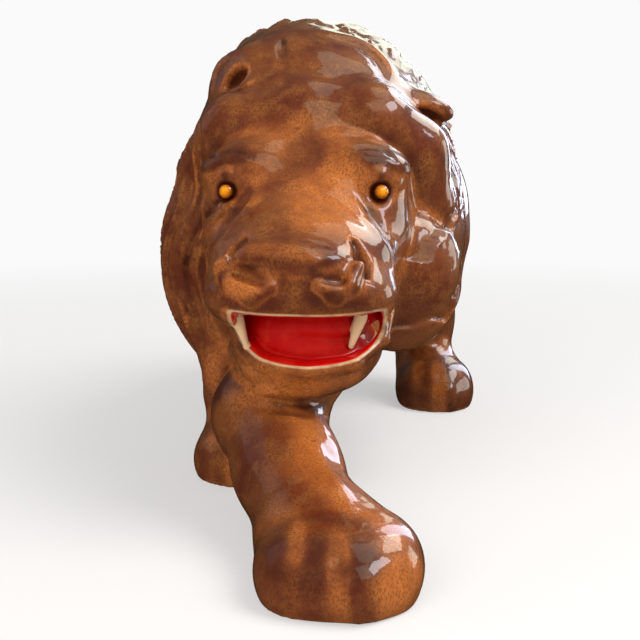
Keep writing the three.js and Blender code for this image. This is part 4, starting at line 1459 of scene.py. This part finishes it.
@dataclass
class Studio:
    """Pale sweep, soft light and the camera of the photograph's viewpoint."""

    windows: tuple[Window, ...]
    camera_at: tuple[float, float, float]
    camera_yaw: float = 10.0
    drop: float = 170
    focal: float = 1050
    frame_width: float = 640
    floor_half: float = 8.0

    def floor(self) -> bpy.types.Object:
        """A wide flat floor."""
        half = self.floor_half
        corners = [(-half, -half, 0), (half, -half, 0), (half, half, 0), (-half, half, 0)]
        mesh = bpy.data.meshes.new("floor")
        mesh.from_pydata(corners, [], [(0, 1, 2, 3)])
        mesh.materials.append(PaleFloor().material())
        made = bpy.data.objects.new("floor", mesh)
        bpy.context.scene.collection.objects.link(made)
        return made

    def sky(self) -> None:
        """Room light: an even white backdrop, which the gloss shows as a dim room, lighter overhead."""
        world = bpy.data.worlds.new("room")
        bpy.context.scene.world = world
        world.use_nodes = True
        tree = world.node_tree
        tree.nodes.clear()
        place = node(tree, "TexCoord").outputs["Generated"]
        up = node(tree, "SeparateXYZ", links={"Vector": place}).outputs["Z"]
        rise = node(tree, "MapRange", {"From Min": -0.1, "From Max": 0.9}, {"Value": up}).outputs[0]
        settings = {"data_type": "RGBA", 6: linear("#22190f"), 7: linear("#5f635a")}
        room = node(tree, "Mix", settings, {0: rise}).outputs[2]
        path = node(tree, "LightPath")
        backdrop = {"data_type": "RGBA", 6: linear("#b4b4b4"), 7: linear("#fafafa")}
        seen = {0: path.outputs["Is Camera Ray"]}
        ambient = node(tree, "Mix", backdrop, seen).outputs[2]
        in_gloss = {0: path.outputs["Is Glossy Ray"], 6: ambient, 7: room}
        colour = node(tree, "Mix", {"data_type": "RGBA"}, in_gloss)
        light = node(tree, "Background", {"Strength": 1.0}, {"Color": colour.outputs[2]})
        node(tree, "OutputWorld", links={"Surface": light.outputs[0]})

    def camera(self) -> bpy.types.Object:
        """The camera, which becomes the scene's."""
        data = bpy.data.cameras.new("camera")
        data.sensor_width = 36
        data.lens = self.focal / self.frame_width * data.sensor_width
        made = bpy.data.objects.new("camera", data)
        made.location = self.camera_at
        yaw, pitch = math.radians(self.camera_yaw), math.atan(self.drop / self.focal)
        ahead = Vector((-math.sin(yaw) * math.cos(pitch), math.cos(yaw) * math.cos(pitch), -math.sin(pitch)))
        made.rotation_euler = ahead.to_track_quat("-Z", "Y").to_euler()
        bpy.context.scene.collection.objects.link(made)
        bpy.context.scene.camera = made
        return made

    def build(self) -> None:
        """Sets up the floor, light and camera."""
        self.floor()
        self.sky()
        for window in self.windows:
            window.hang(Vector((0, -0.05, 0.12)))
        self.camera()
        bpy.context.scene.view_settings.view_transform = "Standard"


def main() -> None:
    """Builds the lion, its eyes and the studio, and reports each."""
    logging.basicConfig(level=logging.INFO, format="%(message)s")
    head = HeadFrame()
    eyes = Eyes()
    face = Face(eyes, Mouth())
    figure = Figure(head, face, Mane(head, Locks()), Legs())
    low, high = (np.asarray(corner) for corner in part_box("eye_left"))
    shift = tuple((low + high) / 2 / MM - np.asarray(head.outside(eyes.place(1))))
    body = LionBody(figure, Net(), BrushedGlaze(), shift).build()
    log.info("%s: %d triangles", body.name, len(body.data.polygons))

    straight = math.radians(head.yaw)
    for side, name in ((1, "eye_left"), (-1, "eye_right")):
        out = straight + side * math.radians(14)
        eye = GlassEye(name, (math.sin(out), -math.cos(out), 0.05), AmberGlass()).build()
        log.info("%s: %d faces", eye.name, len(eye.data.polygons))

    camera_at = ((112 + shift[0]) * MM, (-640 + shift[1]) * MM, 190 * MM)
    windows = (
        Window(Use.LIGHT, (1.00, -0.30, 1.40), (1.00, 1.00), 24, "#fffaf4"),
        Window(Use.LIGHT, (-0.45, -1.50, 0.90), (1.20, 0.90), 14, "#fff6ee"),
        Window(Use.MIRRORED, (0.61, 1.31, 0.72), (0.40, 1.30), 7.5, "#dce8ff"),
        Window(Use.MIRRORED, (1.05, -0.20, 1.10), (0.60, 0.44), 6, "#f0f5ff"),
        Window(Use.MIRRORED, (0.55, -0.75, 1.25), (0.90, 0.70), 2.7, "#dfe8cc"),
        Window(Use.MIRRORED, (0.68, 0.52, 0.90), (0.62, 0.42), 4.5, "#f4f1e6"),
        Window(Use.MIRRORED, (0.05, 1.50, 0.72), (0.60, 0.60), 2.4, "#e2ecdc"),
        Window(Use.MIRRORED, (0.42, 0.14, 1.40), (0.80, 0.70), 2.0, "#e0e8d4"),
        Window(Use.MIRRORED, (1.30, 0.80, 0.25), (0.60, 0.80), 5, "#e6ece4"),
        Window(Use.MIRRORED, (-1.10, 0.10, 0.80), (0.80, 0.90), 0.4, "#e8ecff"),
    )
    Studio(windows, camera_at).build()


if __name__ == "__main__":
    main()
